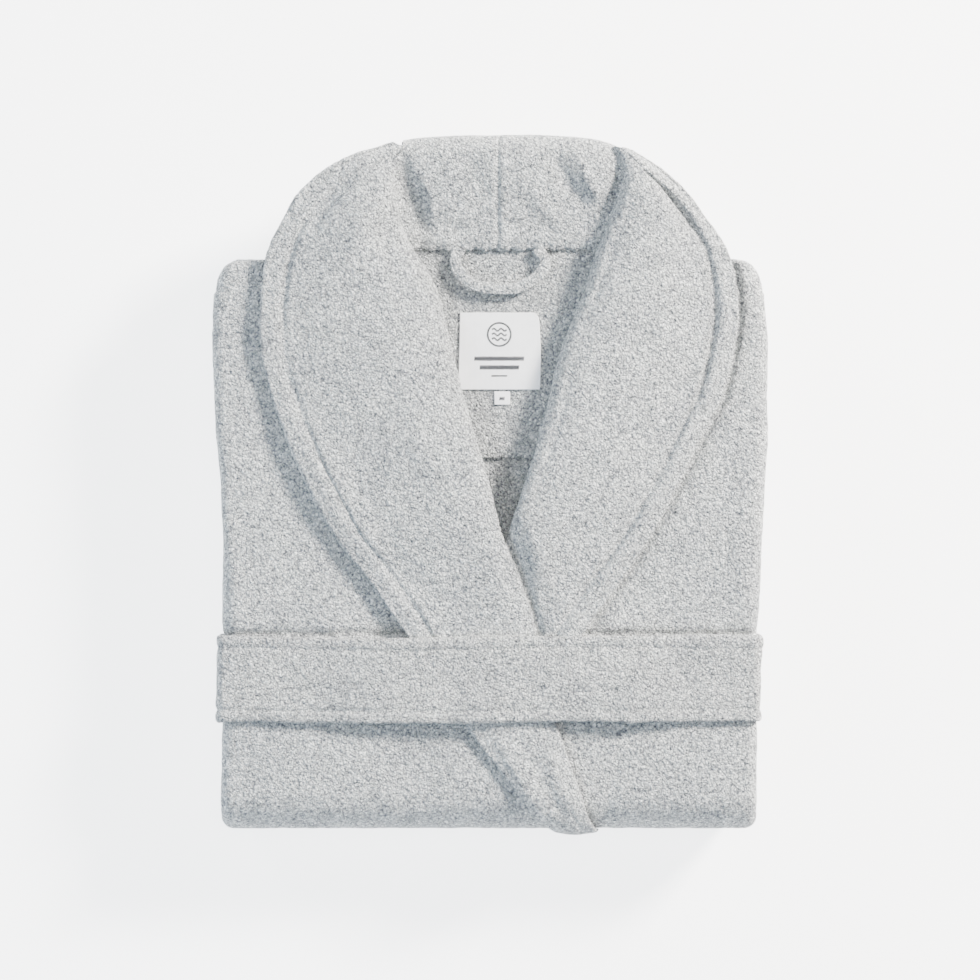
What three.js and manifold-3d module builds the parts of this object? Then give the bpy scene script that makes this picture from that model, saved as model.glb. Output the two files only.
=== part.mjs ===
// Folded terry bathrobe: torso face up, sides and sleeves turned behind, skirt folded under, belt round the torso.
// Millimetres. X to the viewer's right, Y towards the collar, Z up. "Right" and "left" are the wearer's.
import * as THREE from 'three';
import { mergeVertices } from 'three/addons/utils/BufferGeometryUtils.js';
import Module from 'manifold-3d';

const wasm = await Module();
wasm.setup();

// ---- overall sizes -------------------------------------------------------------------------------------------
const PACK_W = 354; // widest, across the chest
const FOLD_W = 344; // width at the bottom fold
const BODY_L = 363; // shoulders to bottom fold
const COLLAR_RISE = 79; // collar above the shoulders
const GAP = 0.3; // between two plies that lie on each other

// ---- cloth thicknesses ---------------------------------------------------------------------------------------
const SKIRT_FRONT_T = 7; // both skirt fronts where they overlap
const SKIRT_BACK_T = 3.6;
const SKIRT_SIDE_T = 9.5; // side turned in, front and back plies
const SKIRT_CORE = 1; // left inside the tightest turn
const STACK_T = 14; // sleeves doubled, belt ends doubled
const SIDE_T = 4.2;
const BACK_T = 3;
const YOKE_T = 2.7;
const FRONT_T = 5.4; // both torso fronts where they overlap
const UNDER_COLLAR_T = 2.7;
const BAND_T = 4;
const BELT_T = 4.5;
const LABEL_T = 0.8;
const TAB_T = 0.5;

// ---- single pieces -------------------------------------------------------------------------------------------
const LAPEL_W = 112; // widest, square to the roll
const LAPEL_RISE = 9.2; // crown above its under collar
const LAPEL_LIP = 6; // roll that hangs over the front's edge
const ROLL_Z = 26; // back collar's ridge above its under collar
const FOLD_BULGE = 25; // depth of the rounded bottom edge
const SIDE_FOLD_W = 160; // side turned behind
const BELT_W = 55;
const BELT_Y = 95.5; // middle of the belt above the bottom fold
const BELT_FIT = 5.4; // belt's side wrap, its outside beyond the torso's side
const BELT_ROUND = 6;
const HUMP = [-64, 88]; // the belt rides over the lapels between these
const HUMP_RAMP = 16;
const BELT_RUNS = 4; // layers in each tucked belt end
const YOKE_DROP = 134; // neck seam to the yoke's lower edge
const YOKE_W = 236;
const SLEEVE_W = 150;
const SLEEVE_DROP = 215; // shoulder to the sleeve's turn
const SLEEVE_BACK = 80; // turn to the cuff
const CUFF_L = 75;
const CUFF_W = 140;
const SHOULDER_SET = 16; // shoulder to the sleeve's top
const POCKET_W = 100; // the part of it that lies on the underside
const POCKET_L = 185;
const POCKET_T = 2.4;
const POCKET_Y = 52; // bottom fold to the pocket's mouth
const POCKET_HEM = 28;
const POCKET_EDGE = 4;
const HEM_L = 28;
const HEM_INSET = 33; // bottom fold to the hem tucked inside
const BAND_W = 62; // front band on the skirt
const LAP = [-60, 64]; // the skirt fronts overlap between these
const CENTRE_SEAM_X = 6;
const LOOP_W = 57; // hanger loop, between its strap's middles
const LOOP_DROP = 26;
const LOOP_X = 7;
const STRAP = [8, 5]; // hanger loop strap, width and thickness
const LABEL = [50, 50];
const LABEL_X = 6.5;
const LABEL_DROP = 41; // neck seam to the label
const TAB = [10, 8.5];
const TAB_X = 8.3;
const CORNER_R = 13;

// ---- derived places ------------------------------------------------------------------------------------------
const HALF = PACK_W / 2;
const FOLD_Y = -BODY_L / 2;
const SHOULDER_Y = FOLD_Y + BODY_L;
const SKIRT_H = 2 * (SKIRT_FRONT_T + GAP + SKIRT_BACK_T + GAP + SKIRT_SIDE_T) + SKIRT_CORE;
const HINGE_Z = SKIRT_H + 0.4;
const TORSO_Z = HINGE_Z + 0.4;
const SIDE_Z = TORSO_Z + STACK_T + GAP;
const BACK_Z = SIDE_Z + SIDE_T + GAP;
const YOKE_Z = BACK_Z + BACK_T + GAP;
const FRONT_Z = YOKE_Z + YOKE_T + GAP;
const FRONT_TOP = FRONT_Z + FRONT_T;
const UNDER_Z = FRONT_TOP + GAP;
const LAPEL_Z = UNDER_Z + UNDER_COLLAR_T + GAP;
const COLLAR_Z = SIDE_Z + 2.5; // underside of the back collar's facing
const NECK_Y = SHOULDER_Y + 7;
const BELT_HUMP_Z = LAPEL_Z + 2.6;

// ---- 2-D helpers ---------------------------------------------------------------------------------------------
// u: -1..1 across the pack. v: 0 at the bottom fold, 1 at the shoulders, 2 at the top of the collar.
function at([u, v]) {
  const y = v <= 1 ? FOLD_Y + v * BODY_L : SHOULDER_Y + (v - 1) * COLLAR_RISE;
  return new THREE.Vector2(u * HALF, y);
}

const smooth = (points, steps) => new THREE.SplineCurve(points).getPoints(steps);

function ellipseArc(centre, a, b, from, to, steps) {
  const out = [];
  for (let i = 0; i <= steps; i++) {
    const angle = from + ((to - from) * i) / steps;
    out.push(new THREE.Vector2(centre.x + a * Math.cos(angle), centre.y + b * Math.sin(angle)));
  }
  return out;
}

function shifted(points, dx, dy) {
  return points.map((p) => new THREE.Vector2(p.x + dx, p.y + dy));
}

// ---- 3-D helpers ---------------------------------------------------------------------------------------------
function solidOf(geometry) {
  const bare = geometry.clone();
  bare.deleteAttribute('normal');
  bare.deleteAttribute('uv');
  const merged = mergeVertices(bare, 1e-4);
  return new wasm.Manifold(new wasm.Mesh({
    numProp: 3,
    vertProperties: new Float32Array(merged.attributes.position.array),
    triVerts: new Uint32Array(merged.index.array),
  }));
}

function geometryOf(solid) {
  const mesh = solid.getMesh();
  const geometry = new THREE.BufferGeometry();
  geometry.setAttribute('position', new THREE.BufferAttribute(new Float32Array(mesh.vertProperties), 3));
  geometry.setIndex(new THREE.BufferAttribute(new Uint32Array(mesh.triVerts), 1));
  return geometry;
}

const extrude = (points, depth) => new THREE.ExtrudeGeometry(new THREE.Shape(points), {
  depth, bevelEnabled: false, steps: 1,
});

// An outline in X and Y, from one height to another.
function prism(points, z0, z1) {
  return solidOf(extrude(points, z1 - z0).translate(0, 0, z0));
}

// A profile in Y and Z, run across X.
function acrossX(points, x0, x1) {
  const geometry = extrude(points, x1 - x0);
  const turn = new THREE.Matrix4().set(0, 0, 1, x0, 1, 0, 0, 0, 0, 1, 0, 0, 0, 0, 0, 1);
  return solidOf(geometry.applyMatrix4(turn));
}

// A profile in X and Z, run along Y.
function alongY(points, y0, y1) {
  return solidOf(extrude(points, y1 - y0).rotateX(Math.PI / 2).translate(0, y1, 0));
}

// Joins closed sections with the same number of points, and caps both ends.
function loft(sections) {
  const count = sections[0].length;
  const positions = sections.flat().flatMap((p) => [p.x, p.y, p.z]);
  const index = [];
  for (let i = 0; i + 1 < sections.length; i++) {
    for (let j = 0; j < count; j++) {
      const a = i * count + j;
      const b = i * count + ((j + 1) % count);
      index.push(a, b, a + count, b, b + count, a + count);
    }
  }
  for (const [ring, flip] of [[0, true], [sections.length - 1, false]]) {
    const hub = positions.length / 3;
    for (const axis of ['x', 'y', 'z']) {
      positions.push(sections[ring].reduce((sum, p) => sum + p[axis], 0) / count);
    }
    for (let j = 0; j < count; j++) {
      const edge = [ring * count + j, ring * count + ((j + 1) % count)];
      index.push(hub, ...(flip ? edge.reverse() : edge));
    }
  }
  const geometry = new THREE.BufferGeometry();
  geometry.setAttribute('position', new THREE.Float32BufferAttribute(positions, 3));
  geometry.setIndex(index);
  const solid = solidOf(geometry);
  if (solid.volume() > 0) return solid;
  const flipped = [];
  for (let i = 0; i < index.length; i += 3) flipped.push(index[i], index[i + 2], index[i + 1]);
  geometry.setIndex(flipped);
  return solidOf(geometry);
}

// ---- outlines ------------------------------------------------------------------------------------------------
// Roll of each lapel, from the top of the collar to the belt, and the outer edge as a share of LAPEL_W from it.
const RIGHT_ROLL = [[-0.282, 1.87], [-0.333, 1.69], [-0.327, 1.48], [-0.308, 1.25], [-0.26, 1.06], [-0.212, 0.975],
  [-0.172, 0.924], [-0.14, 0.845], [-0.068, 0.714], [-0.032, 0.653], [0.011, 0.574], [0.05, 0.504],
  [0.111, 0.434], [0.172, 0.33]];
const RIGHT_REACH = [[-0.107, 0.049], [-0.289, 0.057], [-0.482, 0.089], [-0.673, 0.071], [-0.848, -0.018],
  [-0.955, -0.098], [-1.032, -0.171], [-1.049, -0.198], [-1.018, -0.15], [-0.943, -0.235], [-0.866, -0.237],
  [-0.77, -0.214], [-0.729, -0.185], [-0.71, -0.02]];
const LEFT_ROLL = [[0.451, 1.9], [0.485, 1.75], [0.477, 1.57], [0.441, 1.34], [0.398, 1.13], [0.362, 0.976],
  [0.308, 0.907], [0.25, 0.82], [0.215, 0.75], [0.175, 0.68], [0.129, 0.61], [0.085, 0.54],
  [0.045, 0.48], [-0.02, 0.41], [-0.068, 0.33]];
const LEFT_REACH = [[0.09, -0.03], [0.205, -0.03], [0.385, -0.05], [0.584, -0.06], [0.737, -0.06], [0.838, -0.11],
  [0.923, -0.113], [0.937, -0.19], [0.913, -0.125], [0.864, -0.13], [0.788, -0.19], [0.695, -0.22],
  [0.62, -0.22], [0.6, -0.17], [0.61, 0]];
// Front edges of the torso fronts below the V, down to the bottom fold.
const RIGHT_EDGE = [[0.172, 0.33], [0.215, 0.25], [0.254, 0.17], [0.297, 0.11], [0.348, 0.042], [0.4, -0.02]];
const LEFT_EDGE = [[-0.068, 0.33], [-0.15, 0.22], [-0.226, 0.13], [-0.3, 0.04], [-0.35, -0.02]];
const BAND_EDGE = [[-0.18, 0.3], [-0.068, 0.172], [0.04, 0.105], [0.15, 0.04], [0.24, -0.02]];
const SIDE_RIGHT = [[-0.8, 1], [-0.93, 0.992], [-0.975, 0.965], [-0.994, 0.924], [-1, 0.784], [-0.978, 0.625],
  [-0.958, 0.43], [-0.966, 0.2], [-0.9718, 0.05], [-0.9718, -0.02]];
const SIDE_LEFT = [[0.8, 1.01], [0.93, 1.004], [0.975, 0.975], [0.99, 0.924], [1, 0.72], [0.98, 0.47],
  [0.972, 0.27], [0.9718, 0.05], [0.9718, -0.02]];
const ARCH = [[-0.35, 1.944], [-0.247, 1.981], [-0.032, 2], [0.255, 1.985], [0.398, 1.95], [0.54, 1.85]];

const ROLL_STEPS = 34;
const rollCurve = (roll) => smooth(roll.map(at), ROLL_STEPS);
function outerCurve(roll, reach) {
  return smooth(roll.map((p, i) => at(p).add(new THREE.Vector2(...reach[i]).multiplyScalar(LAPEL_W))), ROLL_STEPS);
}
const rightRoll = rollCurve(RIGHT_ROLL);
const rightOuter = outerCurve(RIGHT_ROLL, RIGHT_REACH);
const leftRoll = rollCurve(LEFT_ROLL);
const leftOuter = outerCurve(LEFT_ROLL, LEFT_REACH);
const rightEdge = smooth(RIGHT_EDGE.map(at), 12);
const leftEdge = smooth(LEFT_EDGE.map(at), 12);
const rightSide = smooth(SIDE_RIGHT.map(at), 30);
const leftSide = smooth(SIDE_LEFT.map(at), 30);
const arch = smooth(ARCH.map(at), 16);

// Everything on one side of a front edge that runs from the shoulders to below the bottom fold.
function sideOfEdge(roll, edge, side, inset) {
  const neck = roll.filter((p) => p.y < SHOULDER_Y - 1);
  const line = shifted([...neck, ...edge.slice(1)], inset, 0);
  const top = new THREE.Vector2(line[0].x, SHOULDER_Y);
  const bottom = new THREE.Vector2(line.at(-1).x, FOLD_Y - 20);
  return [top, ...line, bottom, ...[...side].reverse()];
}

// Slides two end lines apart so a left piece starts where a right one ends.
const rightRegion = (inset) => sideOfEdge(rightRoll, rightEdge, [new THREE.Vector2(-HALF - 20, SHOULDER_Y),
  new THREE.Vector2(-HALF - 20, FOLD_Y - 20)], inset);
const leftRegion = (inset) => sideOfEdge(leftRoll, leftEdge, [new THREE.Vector2(HALF + 20, SHOULDER_Y),
  new THREE.Vector2(HALF + 20, FOLD_Y - 20)], inset);

function bodyOutline() {
  const lower = [new THREE.Vector2(-FOLD_W / 2, FOLD_Y - 20), new THREE.Vector2(FOLD_W / 2, FOLD_Y - 20)];
  const left = rightSide.filter((p) => p.y > FOLD_Y + 1 && p.y <= SHOULDER_Y + 4);
  const right = leftSide.filter((p) => p.y > FOLD_Y + 1);
  return [...left, ...lower, ...right.reverse()];
}

// ---- plies ---------------------------------------------------------------------------------------------------
const FAR = HALF + 40;

// A torso ply: flat, then rounded down over the bottom fold. depth is how far it lies inside the outer surface.
function torsoPly(depth, thickness, endY = SHOULDER_Y + 12) {
  const bend = new THREE.Vector2(FOLD_Y + FOLD_BULGE, TORSO_Z);
  const rise = FRONT_TOP - TORSO_Z;
  const shell = (d) => ellipseArc(bend, FOLD_BULGE - d, rise - d, Math.PI, Math.PI / 2, 10);
  const outer = shell(depth);
  const inner = shell(depth + thickness).reverse();
  return [...outer, new THREE.Vector2(endY, FRONT_TOP - depth),
    new THREE.Vector2(endY, FRONT_TOP - depth - thickness), ...inner];
}

// A skirt ply: rounded up to the bottom fold, flat on the floor side, turned at the top and back to the hem.
function skirtPly(depth, thickness, endY, foldY = null) {
  const turnY = SHOULDER_Y + 3 - SKIRT_H / 2;
  const turn = new THREE.Vector2(turnY, SKIRT_H / 2);
  const bend = new THREE.Vector2(FOLD_Y + FOLD_BULGE, SKIRT_H);
  const half = SKIRT_H / 2;
  const shell = (d) => {
    const start = foldY === null
      ? ellipseArc(bend, FOLD_BULGE - d, SKIRT_H - d, Math.PI, 1.5 * Math.PI, 10)
      : [new THREE.Vector2(foldY, d)];
    return [...start, ...ellipseArc(turn, half - d, half - d, -Math.PI / 2, Math.PI / 2, 14),
      new THREE.Vector2(endY, SKIRT_H - d)];
  };
  return [...shell(depth), ...shell(depth + thickness).reverse()];
}

// ---- materials -----------------------------------------------------------------------------------------------
const terry = () => new THREE.MeshStandardMaterial({ color: 0xcbcdcb, roughness: 0.95, metalness: 0 });
const terryInside = () => new THREE.MeshStandardMaterial({ color: 0xc6c7c3, roughness: 0.95, metalness: 0 });
const beltTerry = () => new THREE.MeshStandardMaterial({ color: 0xc8c9c6, roughness: 0.95, metalness: 0 });
const satin = () => new THREE.MeshStandardMaterial({ color: 0xf3f3f2, roughness: 0.45, metalness: 0 });

const group = new THREE.Group();
group.name = 'bathrobe';

function add(name, solid, material) {
  const mesh = new THREE.Mesh(geometryOf(solid), material);
  mesh.name = name;
  group.add(mesh);
}

// ---- skirt: the half that is folded under --------------------------------------------------------------------
const HEM_Y = FOLD_Y + HEM_INSET;
const HEM_TOP = HEM_Y + HEM_L;
const sides = [-1, 1];
const side = { [-1]: 'right', 1: 'left' };

function skirtSlice(depth, thickness, x0, x1, y0, y1) {
  const ply = acrossX(skirtPly(depth, thickness, HEM_Y), x0, x1);
  if (y0 === undefined) return ply;
  const keep = new THREE.Box3(new THREE.Vector3(-FAR, y0, SKIRT_H / 2), new THREE.Vector3(FAR, y1, SKIRT_H + 5));
  return ply.intersect(boxSolid(keep));
}

function boxSolid(box) {
  const size = box.getSize(new THREE.Vector3());
  const centre = box.getCenter(new THREE.Vector3());
  return solidOf(new THREE.BoxGeometry(size.x, size.y, size.z).translate(centre.x, centre.y, centre.z));
}

// The hem strip at the end of the inner run of a ply.
function hemKeep(extra) {
  return boxSolid(new THREE.Box3(new THREE.Vector3(-FAR, HEM_Y - 5, SKIRT_H / 2),
    new THREE.Vector3(FAR, HEM_TOP + extra, SKIRT_H + 5)));
}

function addSkirt() {
  const edge = FOLD_W / 2;
  const outer = SKIRT_FRONT_T / 2 - GAP / 2;
  const inner = SKIRT_FRONT_T / 2 + GAP / 2;
  const [lapA, lapB] = LAP;
  const full = (x0, x1) => acrossX(skirtPly(0, SKIRT_FRONT_T, HEM_Y), x0, x1);
  const outerHalf = (x0, x1) => acrossX(skirtPly(0, outer, HEM_Y), x0, x1);
  const innerHalf = (x0, x1) => acrossX(skirtPly(inner, SKIRT_FRONT_T - inner, HEM_Y), x0, x1);
  const rightBand = lapB - BAND_W;
  const leftBand = lapA + BAND_W;
  const corner = prism(roundedRect(FOLD_W, BODY_L + 40, CORNER_R, FOLD_Y + (BODY_L + 40) / 2), -1, SKIRT_H + 1);
  const pieces = {
    skirt_front_right: full(-edge, lapA).add(outerHalf(lapA - 1, rightBand - GAP)),
    skirt_front_left: full(lapB + GAP, edge).add(innerHalf(leftBand + GAP, lapB + 1)),
    skirt_band_right: outerHalf(rightBand, lapB),
    skirt_band_left: innerHalf(lapA + GAP, leftBand),
    skirt_back: acrossX(skirtPly(SKIRT_FRONT_T + GAP, SKIRT_BACK_T, HEM_Y), -edge + 1, edge - 1),
  };
  const recess = (s) => prism(pocketOutline(s, GAP), -1, POCKET_T + GAP);
  pieces.skirt_front_right = pieces.skirt_front_right.subtract(recess(-1));
  pieces.skirt_front_left = pieces.skirt_front_left.subtract(recess(1));
  for (const [name, whole] of Object.entries(pieces)) {
    const shaped = whole.intersect(corner);
    const hem = hemKeep(0);
    add(name, shaped.subtract(hemKeep(GAP)), name.includes('back') ? terryInside() : terry());
    if (name.startsWith('skirt_band')) continue;
    pieces[name] = shaped.intersect(hem);
  }
  const bands = { right: pieces.skirt_band_right, left: pieces.skirt_band_left };
  add('hem_front_right', pieces.skirt_front_right, terry());
  add('hem_front_left', pieces.skirt_front_left, terry());
  add('hem_back', pieces.skirt_back, terryInside());
  add('hem_band_right', bands.right.intersect(corner).intersect(hemKeep(0)), terry());
  add('hem_band_left', bands.left.intersect(corner).intersect(hemKeep(0)), terry());
  const sideDepth = SKIRT_FRONT_T + SKIRT_BACK_T + 2 * GAP;
  for (const s of sides) {
    const x = [s * (edge - 2), s * (edge - SIDE_FOLD_W)].sort((a, b) => a - b);
    const start = FOLD_Y + FOLD_BULGE;
    add(`skirt_side_${side[s]}`, acrossX(skirtPly(sideDepth, SKIRT_SIDE_T, HEM_Y + 6, start), ...x), terryInside());
  }
}

function roundedRect(w, l, r, centreY) {
  const corners = [[1, -1, -0.5], [1, 1, 0], [-1, 1, 0.5], [-1, -1, 1]];
  return corners.flatMap(([sx, sy, turn]) => ellipseArc(
    new THREE.Vector2(sx * (w / 2 - r), centreY + sy * (l / 2 - r)), r, r,
    turn * Math.PI, (turn + 0.5) * Math.PI, 6));
}

// ---- patch pockets, pressed flush into the underside -----------------------------------------------------------
function pocketOutline(s, grow) {
  const outerX = s * (FOLD_W / 2 - POCKET_EDGE);
  const innerX = outerX - s * POCKET_W;
  const x = [outerX, innerX].sort((a, b) => a - b);
  const y0 = FOLD_Y + POCKET_Y;
  const box = roundedRect(POCKET_W + 2 * grow, POCKET_L + 2 * grow, 5, y0 + POCKET_L / 2);
  return shifted(box, (x[0] + x[1]) / 2, 0);
}

function addPockets() {
  const hemY = FOLD_Y + POCKET_Y + POCKET_HEM;
  for (const s of sides) {
    const pocket = prism(pocketOutline(s, 0), 0, POCKET_T);
    const cut = (y0, y1) => boxSolid(new THREE.Box3(new THREE.Vector3(-FAR, y0, -5), new THREE.Vector3(FAR, y1, 9)));
    add(`pocket_${side[s]}`, pocket.intersect(cut(hemY + GAP, hemY + POCKET_L)), terry());
    add(`pocket_hem_${side[s]}`, pocket.intersect(cut(hemY - POCKET_L, hemY)), terry());
  }
}

// ---- torso -----------------------------------------------------------------------------------------------------
function addFronts() {
  const body = prism(bodyOutline(), 0, 200);
  const upper = FRONT_T / 2 - GAP / 2;
  const lower = FRONT_T / 2 + GAP / 2;
  const whole = acrossX(torsoPly(0, FRONT_T), -FAR, FAR);
  const top = acrossX(torsoPly(0, upper), -FAR, FAR);
  const under = acrossX(torsoPly(lower, FRONT_T - lower), -FAR, FAR);
  const rightAll = prism(rightRegion(-LAPEL_LIP), 0, 200);
  const leftAll = prism(leftRegion(LAPEL_LIP), 0, 200);
  const clearOfRight = prism(rightRegion(-LAPEL_LIP + GAP), 0, 200);
  const clearOfLeft = prism(leftRegion(LAPEL_LIP - GAP), 0, 200);
  const right = whole.intersect(rightAll).subtract(clearOfLeft).add(top.intersect(rightAll));
  const left = whole.intersect(leftAll).subtract(clearOfRight).add(under.intersect(leftAll));
  add('front_panel_right', right.intersect(body).subtract(lipRoom(rightRoll, rightOuter)), terry());
  add('front_panel_left', left.intersect(body).subtract(lipRoom(leftRoll, leftOuter)), terry());
}

// The right front's band comes out under the belt and rounds the bottom fold.
function addFrontBand() {
  const edge = smooth(BAND_EDGE.map(at), 12);
  const start = FOLD_Y + 0.33 * BODY_L - 1;
  const inner = edge.filter((p) => p.y < start);
  const outer = [...rightEdge].reverse().filter((p) => p.y < start);
  const outline = [...inner, ...outer];
  const bend = new THREE.Vector2(FOLD_Y + FOLD_BULGE, TORSO_Z);
  const rise = FRONT_TOP - TORSO_Z;
  const shell = (d) => ellipseArc(bend, FOLD_BULGE + d, rise + d, Math.PI, Math.PI / 2, 10);
  const profile = [...shell(GAP + BAND_T), new THREE.Vector2(SHOULDER_Y, FRONT_TOP + GAP + BAND_T),
    new THREE.Vector2(SHOULDER_Y, FRONT_TOP + GAP), ...shell(GAP).reverse()];
  const strip = acrossX(profile, -FAR, FAR);
  add('front_band_right', strip.intersect(prism(outline, TORSO_Z + 8, 200)), terry());
}

function addBack() {
  const depth = FRONT_TOP - BACK_Z - BACK_T;
  const body = prism(bodyOutline(), 0, 200);
  const back = acrossX(torsoPly(depth, BACK_T, SHOULDER_Y), -HALF + 4, HALF - 4);
  add('back_panel', back.intersect(body), terryInside());
  const yokeY = NECK_Y - YOKE_DROP;
  const yoke = roundedRect(YOKE_W, NECK_Y - GAP - yokeY, 3, (NECK_Y - GAP + yokeY) / 2);
  add('back_neck_yoke', prism(shifted(yoke, CENTRE_SEAM_X, 0), YOKE_Z, YOKE_Z + YOKE_T), terryInside());
}

function addSides() {
  const edge = FOLD_W / 2 - 1;
  const y0 = FOLD_Y + FOLD_BULGE + 4;
  const y1 = SHOULDER_Y - 6;
  for (const s of sides) {
    const outline = shifted(roundedRect(SIDE_FOLD_W, y1 - y0, 8, (y0 + y1) / 2), s * (edge - SIDE_FOLD_W / 2), 0);
    add(`side_turn_${side[s]}`, prism(outline, SIDE_Z, SIDE_Z + SIDE_T), terryInside());
  }
}

// Each sleeve lies down the back, turns once and ends in its cuff.
function addSleeves() {
  const top = SHOULDER_Y - SHOULDER_SET;
  const turnY = top - SLEEVE_DROP + STACK_T / 2;
  const cuffY = turnY - STACK_T / 2 + SLEEVE_BACK;
  const middle = TORSO_Z + STACK_T / 2;
  const turn = new THREE.Vector2(turnY, middle);
  const arc = (r, from, to) => ellipseArc(turn, r, r, from, to, 8);
  const r = STACK_T / 2;
  const profile = [new THREE.Vector2(top, middle + r), ...arc(r, Math.PI / 2, 1.5 * Math.PI),
    new THREE.Vector2(cuffY, middle - r), new THREE.Vector2(cuffY, middle - GAP),
    ...arc(GAP, 1.5 * Math.PI, Math.PI / 2), new THREE.Vector2(top, middle + GAP)];
  for (const s of sides) {
    const centre = s * (FOLD_W / 4 + 2);
    add(`sleeve_${side[s]}`, acrossX(profile, centre - SLEEVE_W / 2, centre + SLEEVE_W / 2), terryInside());
    const cuff = roundedRect(CUFF_W, CUFF_L, 6, cuffY + GAP + CUFF_L / 2);
    add(`cuff_${side[s]}`, prism(shifted(cuff, centre, 0), middle - r, middle - GAP), terryInside());
  }
}

// ---- collar ----------------------------------------------------------------------------------------------------
const eased = (t) => t * t * (3 - 2 * t);

// Lapel section from the roll (s = 0) to the outer edge (s = w): a hanging roll, a crown and a thin rounded edge.
function lapelSection(roll, outer, share) {
  const w = roll.distanceTo(outer);
  const flat = eased(THREE.MathUtils.clamp((share - 0.62) / 0.38, 0, 1));
  const rise = LAPEL_RISE * (1 - 0.84 * flat);
  const edge = Math.min(4.2, rise * 0.62);
  const lip = Math.min(LAPEL_LIP - 0.6, w * 0.4);
  const drop = share < 0.1 ? 0 : Math.min(1, (share - 0.1) / 0.12) * (1 - eased(
    THREE.MathUtils.clamp((share - 0.52) / 0.2, 0, 1)));
  const low = LAPEL_Z - (LAPEL_Z - YOKE_Z - YOKE_T - 1.4) * drop;
  const high = LAPEL_Z + rise;
  const profile = [[lip * 0.25, low + 0.01], [lip, low], [lip + 0.1, LAPEL_Z], [w - 1.2, LAPEL_Z],
    [w, LAPEL_Z + edge * 0.45], [w - 1.5, LAPEL_Z + edge], [w * 0.82, LAPEL_Z + rise * 0.78],
    [w * 0.55, high - rise * 0.08], [w * 0.3, high], [lip * 1.6, high - 0.3], [lip * 0.7, high - rise * 0.18],
    [lip * 0.16, high - rise * 0.5], [0, (low + high) / 2]];
  return profile.map(([s, z]) => {
    const p = roll.clone().lerp(outer, s / w);
    return new THREE.Vector3(p.x, p.y, z);
  });
}

// A line that runs a set distance in from the roll.
function inFrom(roll, outer, distance) {
  return roll.map((p, i) => p.clone().lerp(outer[i], distance / p.distanceTo(outer[i])));
}

// The hanging roll's place, kept free by the front under it.
function lipRoom(roll, outer) {
  return prism(lapelPlan(inFrom(roll, outer, -LAPEL_LIP), inFrom(roll, outer, LAPEL_LIP)), 0, 200);
}

const lapelPlan = (roll, outer) => [...roll, ...[...outer].reverse()];

function lapelSolid(roll, outer) {
  return loft(roll.map((p, i) => lapelSection(p, outer[i], i / (roll.length - 1))));
}

// The ply under a lapel, and the standing part that it becomes round the neck.
function underCollar(roll, outer, s) {
  const inRoll = roll.map((p, i) => p.clone().lerp(outer[i], Math.min(0.5, (LAPEL_LIP + 1) / p.distanceTo(outer[i]))));
  const inOuter = outer.map((p, i) => p.clone().lerp(roll[i], Math.min(0.2, 2 / p.distanceTo(roll[i]))));
  const from = 4;
  const plan = lapelPlan(inRoll.slice(from), inOuter.slice(from));
  const fall = prism(plan, UNDER_Z, UNDER_Z + UNDER_COLLAR_T);
  const standPlan = lapelPlan(inRoll, inOuter);
  const beyond = boxSolid(new THREE.Box3(new THREE.Vector3(-FAR, NECK_Y, 0), new THREE.Vector3(FAR, 999, 200)));
  const stand = prism(standPlan, SIDE_Z, UNDER_Z + UNDER_COLLAR_T).intersect(beyond);
  const floor = prism(neckPlan(-LAPEL_LIP - 3, 2), SIDE_Z, COLLAR_Z - GAP).intersect(halfOf(s, GAP / 2));
  return fall.add(stand).add(floor.intersect(beyond));
}

// Inside of the neck between the two rolls, from the neck seam to the top of the collar.
function neckPlan(inset, archInset = inset) {
  const right = rightRoll.filter((p) => p.y > NECK_Y).reverse();
  const left = leftRoll.filter((p) => p.y > NECK_Y);
  const a = new THREE.Vector2(right[0].x - 1.5, NECK_Y);
  const b = new THREE.Vector2(left.at(-1).x + 1.5, NECK_Y);
  const top = shifted(arch.slice(1, -1), 0, -archInset);
  return [...shifted([a, ...right], inset, 0), ...top, ...shifted([...left, b], -inset, 0)]
    .map((p) => (p.y < NECK_Y ? new THREE.Vector2(p.x, NECK_Y) : p));
}

function halfOf(s, gap) {
  const x = [CENTRE_SEAM_X + s * gap, s * FAR].sort((a, b) => a - b);
  return boxSolid(new THREE.Box3(new THREE.Vector3(x[0], -999, 0), new THREE.Vector3(x[1], 999, 200)));
}

function backCollar(s) {
  const topY = at([0, 2]).y;
  const depth = topY - NECK_Y;
  const top = COLLAR_Z + ROLL_Z;
  const profile = [[0, COLLAR_Z], [depth - 9, COLLAR_Z], [depth - 3, COLLAR_Z + 3], [depth, COLLAR_Z + 11],
    [depth - 0.5, top - 8], [depth - 3, top - 3], [depth - 8, top - 0.4], [depth - 14, top],
    [depth * 0.68, top - 4], [depth * 0.42, top - 10], [depth * 0.2, top - 14.5], [0, YOKE_Z + YOKE_T + 0.6]];
  const slab = acrossX(profile.map(([y, z]) => new THREE.Vector2(NECK_Y + y, z)), -FAR, FAR);
  const [roll, outer] = s < 0 ? [rightRoll, rightOuter] : [leftRoll, leftOuter];
  const near = [[0, 0], [-s, 0], [0, -1], [0, 1]].map((d) => d.map((k) => k * (GAP + 0.5)));
  const lapel = lapelSolid(roll, outer);
  const lapelRoom = near.flatMap((d) => [prism(shifted(lapelPlan(roll, outer), ...d), 0, 200),
    lapel.translate(...d, 0)]);
  const half = slab.intersect(prism(neckPlan(0.5), 0, 200)).intersect(halfOf(s, GAP / 2));
  return lapelRoom.reduce((rest, room) => rest.subtract(room), half);
}

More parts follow.
